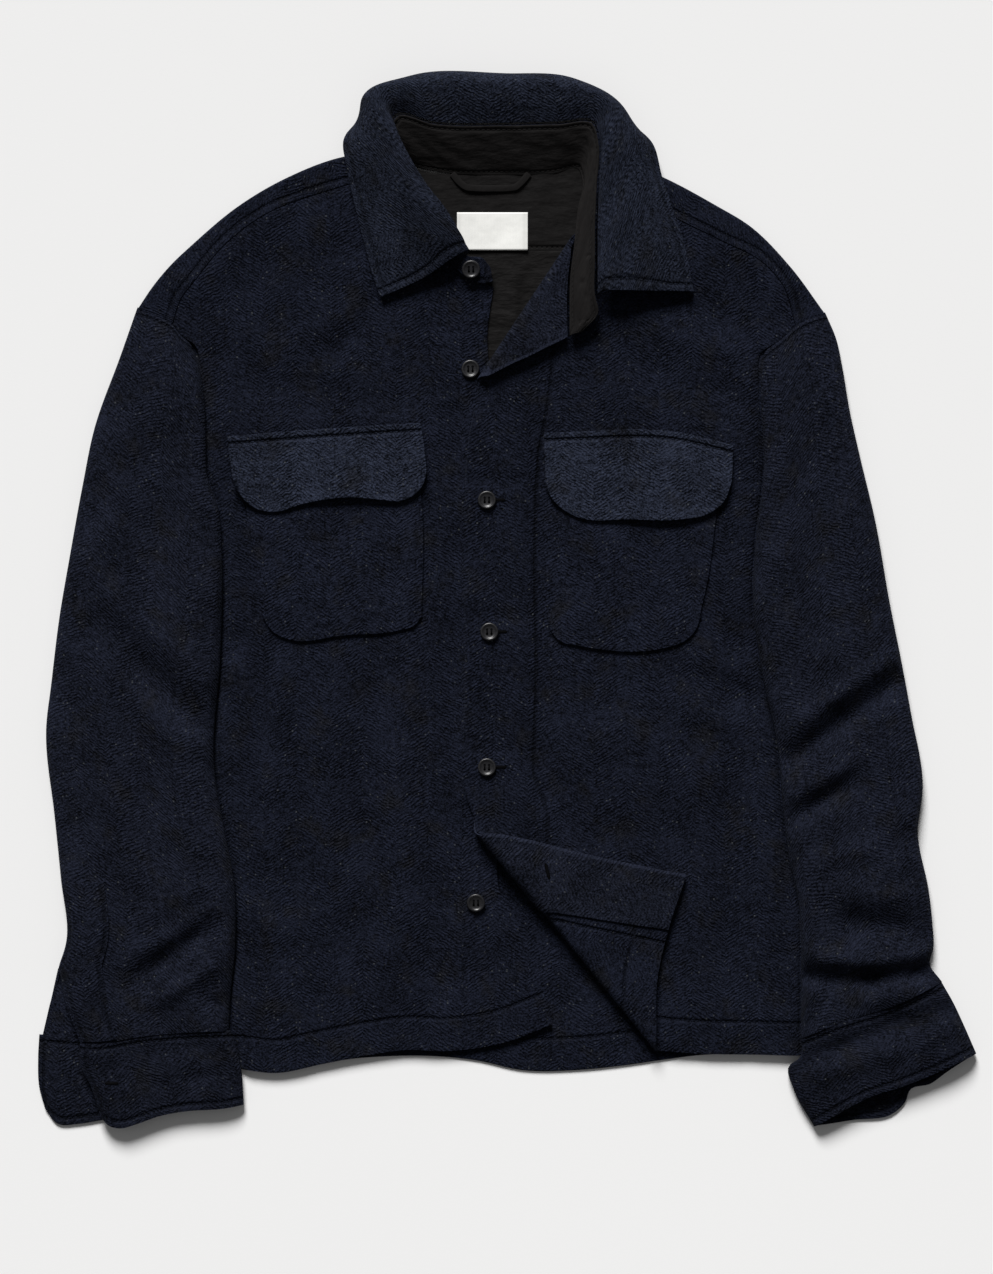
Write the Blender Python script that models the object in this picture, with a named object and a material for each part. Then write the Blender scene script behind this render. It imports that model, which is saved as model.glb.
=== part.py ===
"""A shirt jacket of thick brushed wool, laid flat on its back with the left front over the right.

+X points to the wearer's left, +Y to the collar and +Z up, and the garment rests on z = 0.
Sizes in the tables are in millimetres. The outer face of each panel is drawn first, as a grid between
four edge curves, and the wall is then grown inwards from it.
"""
import math

import bmesh
import bpy
import numpy as np

MM = 0.001

# Cloth walls
WOOL = 2.2
FACING = 1.0
LINING = 1.0
LEAF_WALL = 2.8
STAND_WALL = 2.0
CUFF_WALL = 2.4
TAPE = 1.0
GAP = 0.3
SEAM_GAP = 0.7
FACING_GAP = 0.8
LAID_GAP = 0.6

# Where the columns and rows of the fronts fall, as shares of their width
RIGHT_COLUMNS = np.concatenate([(0.0, 0.0007, 0.005, 0.017, 0.035, 0.06), np.linspace(0.12, 1.0, 12)])
LEFT_COLUMNS = np.concatenate([(0.0, 0.035, 0.07, 0.105, 0.14, 0.175), np.linspace(0.24, 0.94, 9),
                               (0.965, 0.983, 0.995, 0.9993, 1.0)])
RIGHT_CORNER = 12
LEFT_CORNER = 6
BODY_ROWS = 24

# Levels of the outer faces above the surface the garment rests on
LINING_FLOOR = WOOL + GAP
FRONT_LEVEL = 6.6
OVERLAP_RAISE = 4.2
OVERLAP_FULL_X = 7.0
OVERLAP_NONE_X = 29.0
OVERLAP_END_Y = -262.0
OVERLAP_FADE = 42.0
SIDE_FLOOR = 2.0
BACK_INSET = 3.6
SIDE_ROLL = 10.0
SIDE_END = 12

# Turned corners of the left front
TURN_COLUMNS = ("start", "end", "start_radius", "end_radius", "settled_lift")
LAPEL_TURN = ((53.0, 295.0), (-25.0, 177.0), 2.5, 2.5, 5.0)
CORNER_TURN = ((-34.0, -178.0), (121.0, -369.0), 5.0, 3.0, 3.5)
SETTLE_RUN = 50.0
TURN_STEPS = 4

# Buttons
BUTTON_DIAMETER = 15.0
BUTTON_HEIGHT = 3.2
BUTTON_SIDES = 16
HOLE_DIAMETER = 2.0
HOLE_SPACING = 3.6
HOLE_SIDES = 6

# Edge curves of the body, as x and y of points that each curve passes through
RIGHT_SIDE = ((-219, -385), (-226, -328), (-222, -287), (-223, -230), (-230, -193), (-239, -139),
              (-234, -45), (-233, 41), (-236, 75), (-245, 102), (-246, 131), (-248, 170), (-251, 190),
              (-257, 210), (-266.5, 216.5), (-274.5, 226.5))
LEFT_SIDE = ((240, -374), (240, -312), (239, -254), (231, -216), (225, -166), (222, -129), (207, -53),
             (201, -3), (203, 48), (210, 110), (208, 150), (207, 180), (209, 203), (223, 212.5),
             (237, 224.5))
RIGHT_HEM = ((-219, -385), (-189, -388), (-153, -381), (-117, -374), (-82, -369), (-52, -370),
             (1, -362), (37, -348))
LEFT_HEM = ((-22, -364), (68, -359), (121, -369), (155, -372), (207, -373), (240, -374))
BACK_HEM = ((-218.4, -384), (-190, -386), (-120, -376), (-52, -375), (-25, -378), (12, -386), (57, -386),
            (97, -382), (125, -378), (155, -374), (239.4, -373))
RIGHT_FRONT_EDGE = ((37, -348), (24, -301), (12, -269), (-5, -243), (-8, -205), (-5, -164), (0, -82),
                    (0, 82), (-6, 160), (-14, 190), (-16, 215), (-11, 257))
LEFT_FRONT_EDGE = ((-22, -364), (-28, -260), (-35, -170), (-36, -134), (-34, -66), (-35, 52),
                   (-31, 131), (-24, 171), (-18, 260))
RIGHT_NECK = ((-92, 352), (-82, 330), (-66, 303), (-48, 280), (-30, 266), (-11, 257))
LEFT_NECK = ((-18, 260), (24, 278), (53, 295))
LEFT_NECK_RISE = ((53, 295), (66, 307), (90, 341))
RIGHT_YOKE_SEAM = ((-274.5, 226.5), (-268, 246), (-256, 262), (-231, 292), (-197, 317), (-153, 334),
                   (-130, 341), (-92, 352))
LEFT_YOKE_SEAM = ((90, 341), (104, 332), (139, 313), (175, 295), (212, 275), (227, 257), (237, 224.5))
RIGHT_SHOULDER = ((-303, 239), (-291, 257), (-276, 275), (-258, 292), (-221, 323), (-180, 347),
                  (-134, 364), (-92, 368))
LEFT_SHOULDER = ((80, 362), (101, 358), (126, 348), (173, 323), (198, 308), (233, 273), (261, 235))
BACK_NECK = ((-92, 368), (-80, 357), (-66, 351), (-43, 348), (-2, 347), (39, 348), (60, 351), (80, 362))
BACK_SEAM_Y = 222.0
BACK_SEAM = ((-269.5, BACK_SEAM_Y), (-120, BACK_SEAM_Y), (60, BACK_SEAM_Y), (235, BACK_SEAM_Y))

# Soft folds of the body: a line from one end to the other, half width and height
FOLD_COLUMNS = ("x0", "y0", "x1", "y1", "width", "height")
BODY_FOLDS = (
    (-118, -56, -112, -246, 16, -1.6),
    (-150, -85, -140, -240, 22, 2.2),
    (-80, -90, -75, -250, 18, 1.6),
    (-62, -250, -58, -330, 10, -1.2),
    (-224, -60, -210, -330, 12, 3.4),
    (-225, 90, -224, -20, 7, 1.6),
    (-228, 190, -228, 112, 9, 2.4),
    (-262, 258, -190, 318, 13, 2.4),
    (-207, 180, -145, 168, 15, -1.2),
    (150, -66, 208, -80, 10, -1.5),
    (152, -46, 196, -54, 11, 1.4),
    (205, -70, 218, -340, 12, 3.4),
    (191, 70, 190, -20, 7, 1.4),
    (197, 180, 197, 116, 8, 2.2),
    (46, 320, 44, 170, 26, 2.0),
    (170, 306, 226, 256, 13, 2.4),
    (80, -110, 170, -140, 20, 1.3),
)

# Sleeves: edge curves from the armhole down, then folds and the height of the flattened tube
RIGHT_SLEEVE_OUTER = ((-304.5, 237), (-317, 201), (-339, 139), (-348, 95), (-359, 34), (-367, -13),
                      (-374, -70), (-378, -104), (-371, -178), (-366, -228), (-362, -283), (-368, -301))
RIGHT_VENT_UNDER = ((-368, -301), (-374, -326), (-381, -356))
RIGHT_VENT_OVER = ((-368, -301), (-362, -328), (-350, -362))
RIGHT_SLEEVE_INNER = ((-258.5, 208), (-252, 189), (-249, 170), (-247, 131), (-246, 102), (-237, 75),
                      (-234, 41), (-235, -45), (-240, -139), (-231, -193), (-224, -230), (-223, -287),
                      (-227, -328), (-228, -352))
RIGHT_ARMHOLE = ((-304.5, 237), (-288, 231.5), (-275.8, 225.2), (-267.4, 215), (-258.5, 208))
RIGHT_ARMHOLE_UNDER = ((-304.5, 237), (-272, 219.5), (-258.5, 208))
RIGHT_CUFF_SEAM_OVER = ((-350, -362), (-335, -362), (-305, -357), (-263, -353), (-228, -352))
RIGHT_CUFF_SEAM_UNDER = ((-381, -356), (-335, -359), (-263, -353), (-228, -352))
LEFT_SLEEVE_OUTER = ((262.5, 233), (270, 215), (275, 192), (281, 156), (289, 120), (302, 65), (314, -3),
                     (324, -53), (331, -91), (341, -153), (337, -191), (346, -239), (349, -266),
                     (350, -284), (347, -299), (356, -312))
LEFT_SLEEVE_INNER = ((211, 200.6), (208.5, 180), (209, 150), (211, 110), (204, 48), (202, -3), (208, -53),
                     (223, -129), (226, -166), (232, -216), (240, -254), (241, -312), (241, -358))
LEFT_ARMHOLE = ((211, 200.6), (224.2, 210.4), (238, 222.8), (249, 228.6), (262.5, 233))
LEFT_ARMHOLE_UNDER = ((211, 200.6), (238, 219), (262.5, 233))
LEFT_CUFF_SEAM = ((241, -358), (273, -345), (317, -331), (356, -312))
SLEEVE_ROWS = 25
SLEEVE_HEIGHTS = ((0.0, 8.0), (0.12, 14.0), (0.35, 18.0), (0.65, 18.5), (0.88, 17.0), (1.0, 13.5))
RIGHT_SLEEVE_FOLDS = (
    (-334, -16, -305, -62, 9, 3.5),
    (-305, -62, -272, -94, 9, 3.5),
    (-272, -94, -246, -120, 8, 2.5),
    (-285, -46, -240, -94, 9, -3.5),
    (-321, 4, -317, -43, 7, 1.4),
    (-246, -265, -308, -310, 11, -3.2),
    (-262, 180, -330, 110, 16, 1.6),
    (-250, 60, -330, 70, 14, -1.4),
)
LEFT_SLEEVE_FOLDS = (
    (321, -66, 274, -96, 9, -3.6),
    (274, -96, 232, -130, 9, -3.6),
    (280, -151, 232, -180, 9, -2.8),
    (318, -191, 306, -196, 10, -2.6),
    (285, -262, 342, -277, 9, -3.0),
    (243, -308, 298, -310, 7, -5.0),
    (298, -310, 342, -303, 7, -4.6),
    (293, -328, 344, -319, 8, 2.6),
    (262, -236, 330, -240, 12, 1.8),
    (250, 90, 290, 60, 16, 1.4),
)

# Cuffs: the over layer shows from above and the under layer lies on the surface
RIGHT_CUFF_OVER_END = ((-350, -362.8), (-350, -380), (-341, -399), (-333, -424))
RIGHT_CUFF_UNDER_END = ((-384, -356.7), (-385, -377), (-384, -400), (-379, -418))
RIGHT_CUFF_FOLD = ((-227, -352.8), (-219, -380), (-216, -414))
RIGHT_CUFF_TOP_OVER = ((-350, -362.8), (-335, -362.8), (-305, -357.8), (-263, -353.8), (-227, -352.8))
RIGHT_CUFF_TOP_UNDER = ((-384, -356.7), (-381, -356.9), (-335, -359.9), (-263, -353.9), (-227, -352.8))
RIGHT_CUFF_LOW_OVER = ((-333, -424), (-326, -431), (-317, -433), (-305, -430), (-285, -423),
                       (-263, -419), (-233, -417), (-216, -414))
RIGHT_CUFF_LOW_UNDER = ((-379, -418), (-369, -430), (-351, -430), (-333, -427), (-285, -420), (-216, -414))
LEFT_CUFF_TOP = ((241.2, -359), (273, -346.1), (317, -332.2), (356.3, -313))
LEFT_CUFF_LEFT_FOLD = ((241.2, -359), (240.6, -375), (231, -383), (235, -401), (252, -432))
LEFT_CUFF_RIGHT_FOLD = ((356.3, -313), (366, -330), (374, -347), (385, -372))
LEFT_CUFF_LOW_OVER = ((252, -432), (261, -427), (298, -407), (326, -398), (355, -386), (385, -372))
LEFT_CUFF_LOW_UNDER = ((252, -432), (283, -427), (318, -421), (327, -412), (331, -402), (348, -397),
                       (359, -389), (385, -372))
RIGHT_CUFF_HEIGHTS = ((0.0, 12.5), (0.5, 13.0), (1.0, 12.0))
LEFT_CUFF_HEIGHTS = ((0.0, 13.0), (0.5, 15.0), (1.0, 13.0))
RIGHT_CUFF_FOLDS = ((-247, -366, -334, -385, 10, -2.2),)
LEFT_CUFF_FOLDS = ((359, -336, 321, -344, 8, -3.0), (321, -344, 245, -378, 8, -3.4))

# Flattened tube section as shares across and up, from the left edge along the bottom to the right edge
# and back over the top
TUBE_SECTION = (
    (0.0, 0.36), (0.012, 0.12), (0.05, 0.0), (0.35, 0.0), (0.65, 0.0), (0.95, 0.0), (0.988, 0.12),
    (1.0, 0.36), (0.985, 0.66), (0.94, 0.88), (0.86, 0.98), (0.74, 1.0), (0.61, 0.97), (0.48, 0.95),
    (0.36, 0.97), (0.25, 1.0), (0.14, 0.97), (0.06, 0.87), (0.015, 0.66), (0.0, 0.36),
)
CUFF_SECTION = (
    (0.0, 0.36), (0.012, 0.12), (0.05, 0.0), (0.12, 0.0), (0.22, 0.0), (0.35, 0.0), (0.48, 0.0), (0.54, 0.0),
    (0.62, 0.0), (0.70, 0.0), (0.80, 0.0), (0.95, 0.0), (0.988, 0.12), (1.0, 0.36), (0.985, 0.66),
    (0.93, 0.90), (0.82, 1.0), (0.66, 0.98), (0.50, 0.96), (0.34, 0.98), (0.18, 1.0), (0.09, 0.94),
    (0.03, 0.78), (0.008, 0.60), (0.0, 0.36),
)

# Pockets: edge curves, lower edges from left to right
FLAPS = {
    "flap_right": {
        "top": ((-229, 134), (-150, 140), (-71, 145)),
        "left": ((-229, 134), (-227, 117), (-223, 100)),
        "right": ((-71, 145), (-68, 127), (-66, 106)),
        "low": ((-223, 100), (-216, 83), (-206, 75), (-193, 72), (-166, 79), (-127, 84), (-103, 82),
                (-87, 81), (-76, 86), (-68, 96), (-66, 106)),
    },
    "flap_left": {
        "top": ((30, 137), (143, 137), (185, 127)),
        "left": ((30, 137), (31, 115), (32, 95)),
        "right": ((185, 127), (185, 112), (184, 97)),
        "low": ((32, 95), (37, 83), (46, 74), (57, 68), (100, 66), (143, 66), (166, 71), (178, 81),
                (184, 97)),
    },
}
BAGS = {
    "pocket_right": {
        "top": ((-216, 128), (-76, 136)),
        "left": ((-216, 128), (-213, 69), (-206, 32), (-203, 0)),
        "right": ((-76, 136), (-69, 66), (-70, -14)),
        "low": ((-203, 0), (-199, -16), (-192, -26), (-180, -32), (-133, -29), (-89, -25), (-76, -21),
                (-70, -14)),
    },
    "pocket_left": {
        "top": ((32, 129), (176, 121)),
        "left": ((32, 129), (31, 66), (33, -10)),
        "right": ((176, 121), (171, 66), (163, 9), (159, -8)),
        "low": ((33, -10), (36, -25), (44, -34), (57, -37), (130, -39), (145, -34), (155, -24),
                (159, -8)),
    },
}
FLAP_CURL = 4.0
POCKET_SHARES = (0, 0.06, 0.13, 0.28, 0.45, 0.62, 0.78, 0.88, 0.94, 1)
FLAP_SHARES = (0, 0.05, 0.11, 0.18, 0.3, 0.42, 0.54, 0.66, 0.78, 0.87, 0.94, 1)

# Collar sections round the neck, from the right front end to the left front end: places of the
# neck seam, top of the stand, inner edge of the roll, crest, middle of the leaf and its outer edge
COLLAR = (
    ((-28, 262, 9.6), (-32, 284, 13), (-31, 287, 17), (-37, 284, 20.5), (-68, 264, 17), (-104, 248, 12)),
    ((-46, 277, 9.6), (-46, 302, 20), (-42, 307, 26), (-48, 303, 30.5), (-77, 287, 23), (-111, 270, 12)),
    ((-63, 297, 9.6), (-58, 319, 25), (-52, 322, 31), (-58, 318, 35.5), (-85, 308, 26), (-118, 296, 12)),
    ((-77, 320, 9.6), (-73, 338, 27), (-66, 340, 33), (-72, 336, 37.5), (-96, 331, 28), (-125, 325, 12.5)),
    ((-87, 343, 9.0), (-85, 359, 28), (-78, 359, 34), (-84, 356, 38.5), (-105, 355, 29), (-131, 353, 13)),
    ((-86, 358, 6.0), (-96, 386, 28), (-91, 387, 34), (-97, 388, 38.5), (-115, 384, 29), (-134, 377, 11)),
    ((-68, 354, 3.6), (-92, 396, 26), (-98, 407, 33), (-104, 414, 35.5), (-119, 410, 20), (-112, 400, 2.5)),
    ((-43, 350, 3.0), (-60, 391, 23), (-68, 412, 30.5), (-74, 423, 32), (-79, 429, 18), (-74, 420, 1.5)),
    ((-2, 349, 3.0), (-2, 390, 23), (-2, 411, 30.5), (-2, 423.5, 31.5), (-2, 431, 17), (-2, 421, 1.5)),
    ((37, 350, 3.0), (42, 391, 23), (48, 409, 30), (51, 421, 30.5), (55, 427, 17), (52, 416, 1.5)),
    ((60, 353, 4.0), (71, 391, 24), (77, 400, 27.5), (83, 405, 29), (97, 401, 18), (100, 392, 2.5)),
    ((63, 342, 7.5), (76, 374, 25), (78.5, 382, 28), (84, 384, 30.5), (103, 381, 24), (119, 375, 9)),
    ((59, 320, 11), (75, 341, 25), (77.5, 346, 28), (84, 348, 30), (106, 349, 24), (127, 347, 13)),
    ((56, 294, 14.5), (74, 308, 25), (77, 312, 28), (84, 314, 30), (109, 319, 24), (136, 320, 13)),
    ((52, 262, 16), (74, 276, 25), (77, 280, 28), (84, 281, 30), (112, 286, 23), (146, 289, 13)),
    ((51.5, 238, 16.3), (74, 250, 24), (77, 253, 27), (84, 253, 29), (113, 253, 22), (153, 253, 13)),
)
STAND_GAP = 2.4
STAND_RIGHT_END = (((-11.5, 261, 9.8), (-14, 275, 10.5)), ((-19, 259.5, 9.7), (-21, 283, 11)))
STAND_LEFT_END = (((51.5, 228, 16.4), (76, 236, 22)), ((52, 220, 16.5), (69, 224, 19)))

# Small pieces
LEAF_STEPS = np.concatenate([np.linspace(0.0, 0.40, 7), np.linspace(0.55, 1.0, 4)])
LABEL_CENTRE = (-12.0, 302.5)
LABEL_SIZE = (58.0, 31.0)
LINING_SEAM_Y = 287.0
LINING_END_Y = 180.0
YOKE_LINING_WIDTH = (-84.0, 76.0)
PLEAT_X = 5.0
PLEAT_WIDTH = 9.0
PLEAT_HEIGHT = 1.6
LOOP_PATH = ((-43, 345.5), (-39, 338), (-8, 336.5), (14, 338), (17, 345.5))
LOOP_WIDTH = 5.5

BUTTONS = {
    "button_1": (-29.5, 271, 9),
    "button_2": (-30, 189.5, 0),
    "button_3": (-16.5, 82, 0),
    "button_4": (-14.5, -26, 0),
    "button_5": (-16.5, -137, 0),
    "button_6": (-25.5, -248, 7),
}

MATERIALS = {
    "wool": ((0.0105, 0.0125, 0.0205, 1.0), 0.95),
    "wool_inside": ((0.0125, 0.0145, 0.0225, 1.0), 0.95),
    "lining": ((0.0085, 0.0080, 0.0082, 1.0), 0.80),
    "label": ((0.80, 0.80, 0.77, 1.0), 0.70),
    "button": ((0.022, 0.022, 0.026, 1.0), 0.35),
}


def clear_scene():
    """Empty the file of every object."""
    for item in list(bpy.data.objects):
        bpy.data.objects.remove(item, do_unlink=True)


def material(name):
    """The finish of that name, made once."""
    found = bpy.data.materials.get(name)
    if found:
        return found
    colour, roughness = MATERIALS[name]
    made = bpy.data.materials.new(name)
    made.use_nodes = True
    shader = made.node_tree.nodes["Principled BSDF"]
    shader.inputs["Base Color"].default_value = colour
    shader.inputs["Roughness"].default_value = roughness
    shader.inputs["Metallic"].default_value = 0.0
    return made


def fine_line(points, steps=12):
    """Closely spaced points on a smooth curve through the given points."""
    knots = np.array(points, float)
    if len(knots) == 2:
        return knots
    chord = np.linalg.norm(np.diff(knots, axis=0), axis=1)
    slope = np.diff(knots, axis=0) / chord[:, None]
    tangent = np.empty_like(knots)
    tangent[0] = slope[0]
    tangent[-1] = slope[-1]
    share = (chord[:-1] / (chord[:-1] + chord[1:]))[:, None]
    tangent[1:-1] = slope[:-1] * (1 - share) + slope[1:] * share
    pieces = []
    for index, length in enumerate(chord):
        t = (np.arange(steps) / steps)[:, None]
        start = knots[index] * (2 * t**3 - 3 * t**2 + 1) + knots[index + 1] * (3 * t**2 - 2 * t**3)
        bend = tangent[index] * (t**3 - 2 * t**2 + t) + tangent[index + 1] * (t**3 - t**2)
        pieces.append(start + bend * length)
    pieces.append(knots[-1:])
    return np.vstack(pieces)


def along(line, fractions):
    """Points of a fine line at fractions of its length."""
    run = np.concatenate([[0.0], np.cumsum(np.linalg.norm(np.diff(line, axis=0), axis=1))])
    wanted = np.clip(np.asarray(fractions, float), 0, 1) * run[-1]
    return np.stack([np.interp(wanted, run, line[:, axis]) for axis in range(line.shape[1])], axis=-1)


def patch(low, top, left, right, across, up):
    """Points between four edge curves: low and top run left to right, left and right run low to top."""
    across, up = np.broadcast_arrays(np.asarray(across, float), np.asarray(up, float))
    low_at = along(low, across)
    top_at = along(top, across)
    left_at = along(left, up)
    right_at = along(right, up)
    u = across[..., None]
    v = up[..., None]
    corners = ((1 - u) * (1 - v) * low[0] + u * (1 - v) * low[-1] + (1 - u) * v * top[0] + u * v * top[-1])
    return (1 - v) * low_at + v * top_at + (1 - u) * left_at + u * right_at - corners


def ease(value):
    """Smooth step from 0 to 1."""
    value = np.clip(value, 0, 1)
    return value * value * (3 - 2 * value)


def line_distance(x, y, line):
    """Shortest plan distance from each point to a polyline."""
    best = np.full(np.shape(x), 1e9)
    for start, end in zip(line[:-1], line[1:]):
        run = end - start
        share = np.clip(((x - start[0]) * run[0] + (y - start[1]) * run[1]) / max(run @ run, 1e-9), 0, 1)
        gap = np.hypot(x - start[0] - share * run[0], y - start[1] - share * run[1])
        best = np.minimum(best, gap)
    return best


def relief(x, y, folds):
    """Height that the soft ridges and troughs add at each plan point."""
    total = np.zeros(np.shape(x))
    for row in folds:
        fold = dict(zip(FOLD_COLUMNS, row))
        ends = np.array(((fold["x0"], fold["y0"]), (fold["x1"], fold["y1"])), float)
        total = total + fold["height"] * np.exp(-(line_distance(x, y, ends) / fold["width"]) ** 2)
    return total


def body_level(x, y):
    """Height of the outer face of the fronts and the front of the yoke."""
    return FRONT_LEVEL + relief(x, y, BODY_FOLDS)


def over_level(x, y):
    """Height of the outer face of the left front, which rises over the right one."""
    near = ease((OVERLAP_NONE_X - x) / (OVERLAP_NONE_X - OVERLAP_FULL_X))
    along_edge = ease((y - OVERLAP_END_Y) / OVERLAP_FADE)
    return body_level(x, y) + OVERLAP_RAISE * near * along_edge


def rolled_side(x, y, level, side):
    """Bring the outer face down to the back panel at the side fold."""
    inward = np.clip(line_distance(x, y, side) / SIDE_ROLL, 0, 1)
    return SIDE_FLOOR + (level - SIDE_FLOOR) * np.sqrt(1 - (1 - inward) ** 2)


def turn_frame(turn):
    """A turn by its column names, with its length and its direction past the fold."""
    row = dict(zip(TURN_COLUMNS, turn))
    (x0, y0), (x1, y1) = row["start"], row["end"]
    row["length"] = math.hypot(x1 - x0, y1 - y0)
    row["normal"] = ((y1 - y0) / row["length"], -(x1 - x0) / row["length"])
    return row


def turn_over(x, y, turn):
    """Plan place and lift of flat points once the corner beyond a fold line is turned over."""
    row = turn_frame(turn)
    (x0, y0), (x1, y1) = row["start"], row["end"]
    share = np.clip(((x - x0) * (x1 - x0) + (y - y0) * (y1 - y0)) / row["length"] ** 2, 0, 1)
    radius = row["start_radius"] * (1 - share) + row["end_radius"] * share
    beyond = (x - x0) * row["normal"][0] + (y - y0) * row["normal"][1] + radius + WOOL
    angle = np.clip(beyond / radius, 0, math.pi)
    past = beyond - math.pi * radius
    out = np.where(past < 0, radius * np.sin(angle), -past)
    shift = np.where(beyond > 0, out - beyond, 0)
    lift = radius * (1 - np.cos(angle))
    lift = lift - (2 * radius - row["settled_lift"]) * ease(past / SETTLE_RUN)
    return x + row["normal"][0] * shift, y + row["normal"][1] * shift, lift


def left_front_point(x, y):
    """Place of a flat point of the left front as the garment lies."""
    side = fine_line(LEFT_SIDE)[:SIDE_END * 12 + 1]
    new_x, new_y, lift = turn_over(x, y, LAPEL_TURN)
    new_x, new_y, corner_lift = turn_over(new_x, new_y, CORNER_TURN)
    level = rolled_side(new_x, new_y, over_level(new_x, new_y), side)
    return new_x, new_y, level + lift + corner_lift


def lay_grid(mesh, points):
    """Add a grid whose vertices take the given places, rows first."""
    rows, columns = points.shape[:2]
    made = bmesh.ops.create_grid(mesh, x_segments=columns - 1, y_segments=rows - 1, size=1.0)
    for vert in made["verts"]:
        column = round((vert.co.x + 1) / 2 * (columns - 1))
        row = round((vert.co.y + 1) / 2 * (rows - 1))
        vert.co = points[row, column]
    return made["verts"]


def scale_down(mesh):
    """Turn a mesh drawn in millimetres into metres."""
    for vert in mesh.verts:
        vert.co *= MM


def shift_along_normals(mesh, distance):
    """Move each vertex out along its normal."""
    mesh.normal_update()
    places = [vert.co + vert.normal * distance for vert in mesh.verts]
    for vert, place in zip(mesh.verts, places):
        vert.co = place


def cloth(name, mesh, finish, wall, offset=-1.0):
    """Make the drawn face a named piece with a wall grown from it."""
    bmesh.ops.remove_doubles(mesh, verts=mesh.verts, dist=0.002)
    scale_down(mesh)
    data = bpy.data.meshes.new(name)
    mesh.to_mesh(data)
    mesh.free()
    data.shade_smooth()
    data.materials.append(material(finish))
    piece = bpy.data.objects.new(name, data)
    bpy.context.scene.collection.objects.link(piece)
    solidify = piece.modifiers.new("Wall", "SOLIDIFY")
    solidify.thickness = wall * MM
    solidify.offset = offset
    solidify.use_even_offset = True
    solidify.use_quality_normals = True
    solidify.thickness_clamp = 0.0
    return piece


def joined_curve(first, second, split, fractions):
    """Points along two curves that meet in a corner, which falls at the fraction split."""
    fractions = np.asarray(fractions, float)
    low = along(first, np.clip(fractions / split, 0, 1))
    high = along(second, np.clip((fractions - split) / (1 - split), 0, 1))
    return np.where((fractions <= split)[:, None], low, high)


def body_grid(low, top_points, left, right, across, up):
    """Grid of a front panel whose top edge is already sampled at the across fractions."""
    u = across[None, :, None]
    v = up[:, None, None]
    low_at = along(low, across)[None]
    left_at = along(left, up)[:, None] + v * (top_points[0] - left[-1])
    right_at = along(right, up)[:, None] + v * (top_points[-1] - right[-1])
    top_at = top_points[None]
    corners = ((1 - u) * (1 - v) * low[0] + u * (1 - v) * low[-1]
               + (1 - u) * v * top_points[0] + u * v * top_points[-1])
    return (1 - v) * low_at + v * top_at + (1 - u) * left_at + u * right_at - corners


def set_back(line, distance):
    """Points of a line moved to its lower side."""
    run = np.gradient(line, axis=0)
    run = run / np.linalg.norm(run, axis=1)[:, None]
    return line + np.column_stack([run[:, 1], -run[:, 0]]) * distance


def rows_to_corner(side, corner):
    """Row shares of a front, one of them at the corner where the armhole begins."""
    whole = fine_line(side)
    run = np.concatenate([[0.0], np.cumsum(np.linalg.norm(np.diff(whole, axis=0), axis=1))])
    nearest = np.argmin(np.linalg.norm(whole - np.array(side[corner], float), axis=1))
    share = run[nearest] / run[-1]
    return np.concatenate([np.linspace(0, share, BODY_ROWS - 2), np.linspace(share, 1, 3)[1:]])


def right_front():
    """The front that lies under, from its side fold to its buttoned edge."""
    across = RIGHT_COLUMNS
    up = rows_to_corner(RIGHT_SIDE, -3)
    split = across[RIGHT_CORNER]
    top = joined_curve(fine_line(RIGHT_YOKE_SEAM), fine_line(RIGHT_NECK), split, across)
    top = set_back(top, SEAM_GAP)
    plan = body_grid(fine_line(RIGHT_HEM), top, fine_line(RIGHT_SIDE), fine_line(RIGHT_FRONT_EDGE),
                     across, up)
    x, y = plan[..., 0], plan[..., 1]
    z = rolled_side(x, y, body_level(x, y), fine_line(RIGHT_SIDE)[:SIDE_END * 12 + 1])
    mesh = bmesh.new()
    lay_grid(mesh, np.stack([x, y, z], axis=-1))
    return cloth("front_right", mesh, "wool", WOOL)


def left_front_mesh(columns):
    """The over front drawn flat, cut along its turns and turned, for the first columns or for all."""
    across = LEFT_COLUMNS
    up = rows_to_corner(LEFT_SIDE, -3)
    split = across[LEFT_CORNER]
    neck = np.vstack([fine_line(LEFT_NECK), fine_line(LEFT_NECK_RISE)])
    top = joined_curve(neck, fine_line(LEFT_YOKE_SEAM), split, across)
    top = set_back(top, SEAM_GAP)
    plan = body_grid(fine_line(LEFT_HEM), top, fine_line(LEFT_FRONT_EDGE), fine_line(LEFT_SIDE), across, up)
    plan = plan[:, :columns]
    mesh = bmesh.new()
    lay_grid(mesh, np.concatenate([plan, np.zeros(plan.shape[:2] + (1,))], axis=-1))
    for turn in (LAPEL_TURN, CORNER_TURN):
        row = turn_frame(turn)
        normal = np.array(row["normal"])
        for step in range(TURN_STEPS + 1):
            swing = step / TURN_STEPS * math.pi - 1
            start = np.array(row["start"]) + normal * (swing * row["start_radius"] - WOOL)
            end = np.array(row["end"]) + normal * (swing * row["end_radius"] - WOOL)
            run = end - start
            parts = mesh.verts[:] + mesh.edges[:] + mesh.faces[:]
            bmesh.ops.bisect_plane(mesh, geom=parts, dist=0.3, plane_co=(start[0], start[1], 0.0),
                                   plane_no=(run[1], -run[0], 0.0))
    x = np.array([vert.co.x for vert in mesh.verts])
    y = np.array([vert.co.y for vert in mesh.verts])
    new_x, new_y, new_z = left_front_point(x, y)
    for vert, place in zip(mesh.verts, zip(new_x, new_y, new_z)):
        vert.co = place
    return mesh


def left_front():
    """The front that lies over, with both turned corners, and its facing."""
    cloth("front_left", left_front_mesh(None), "wool", WOOL)
    mesh = left_front_mesh(6)
    shift_along_normals(mesh, -(WOOL + FACING_GAP))
    cloth("facing_left", mesh, "wool_inside", FACING)


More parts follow.
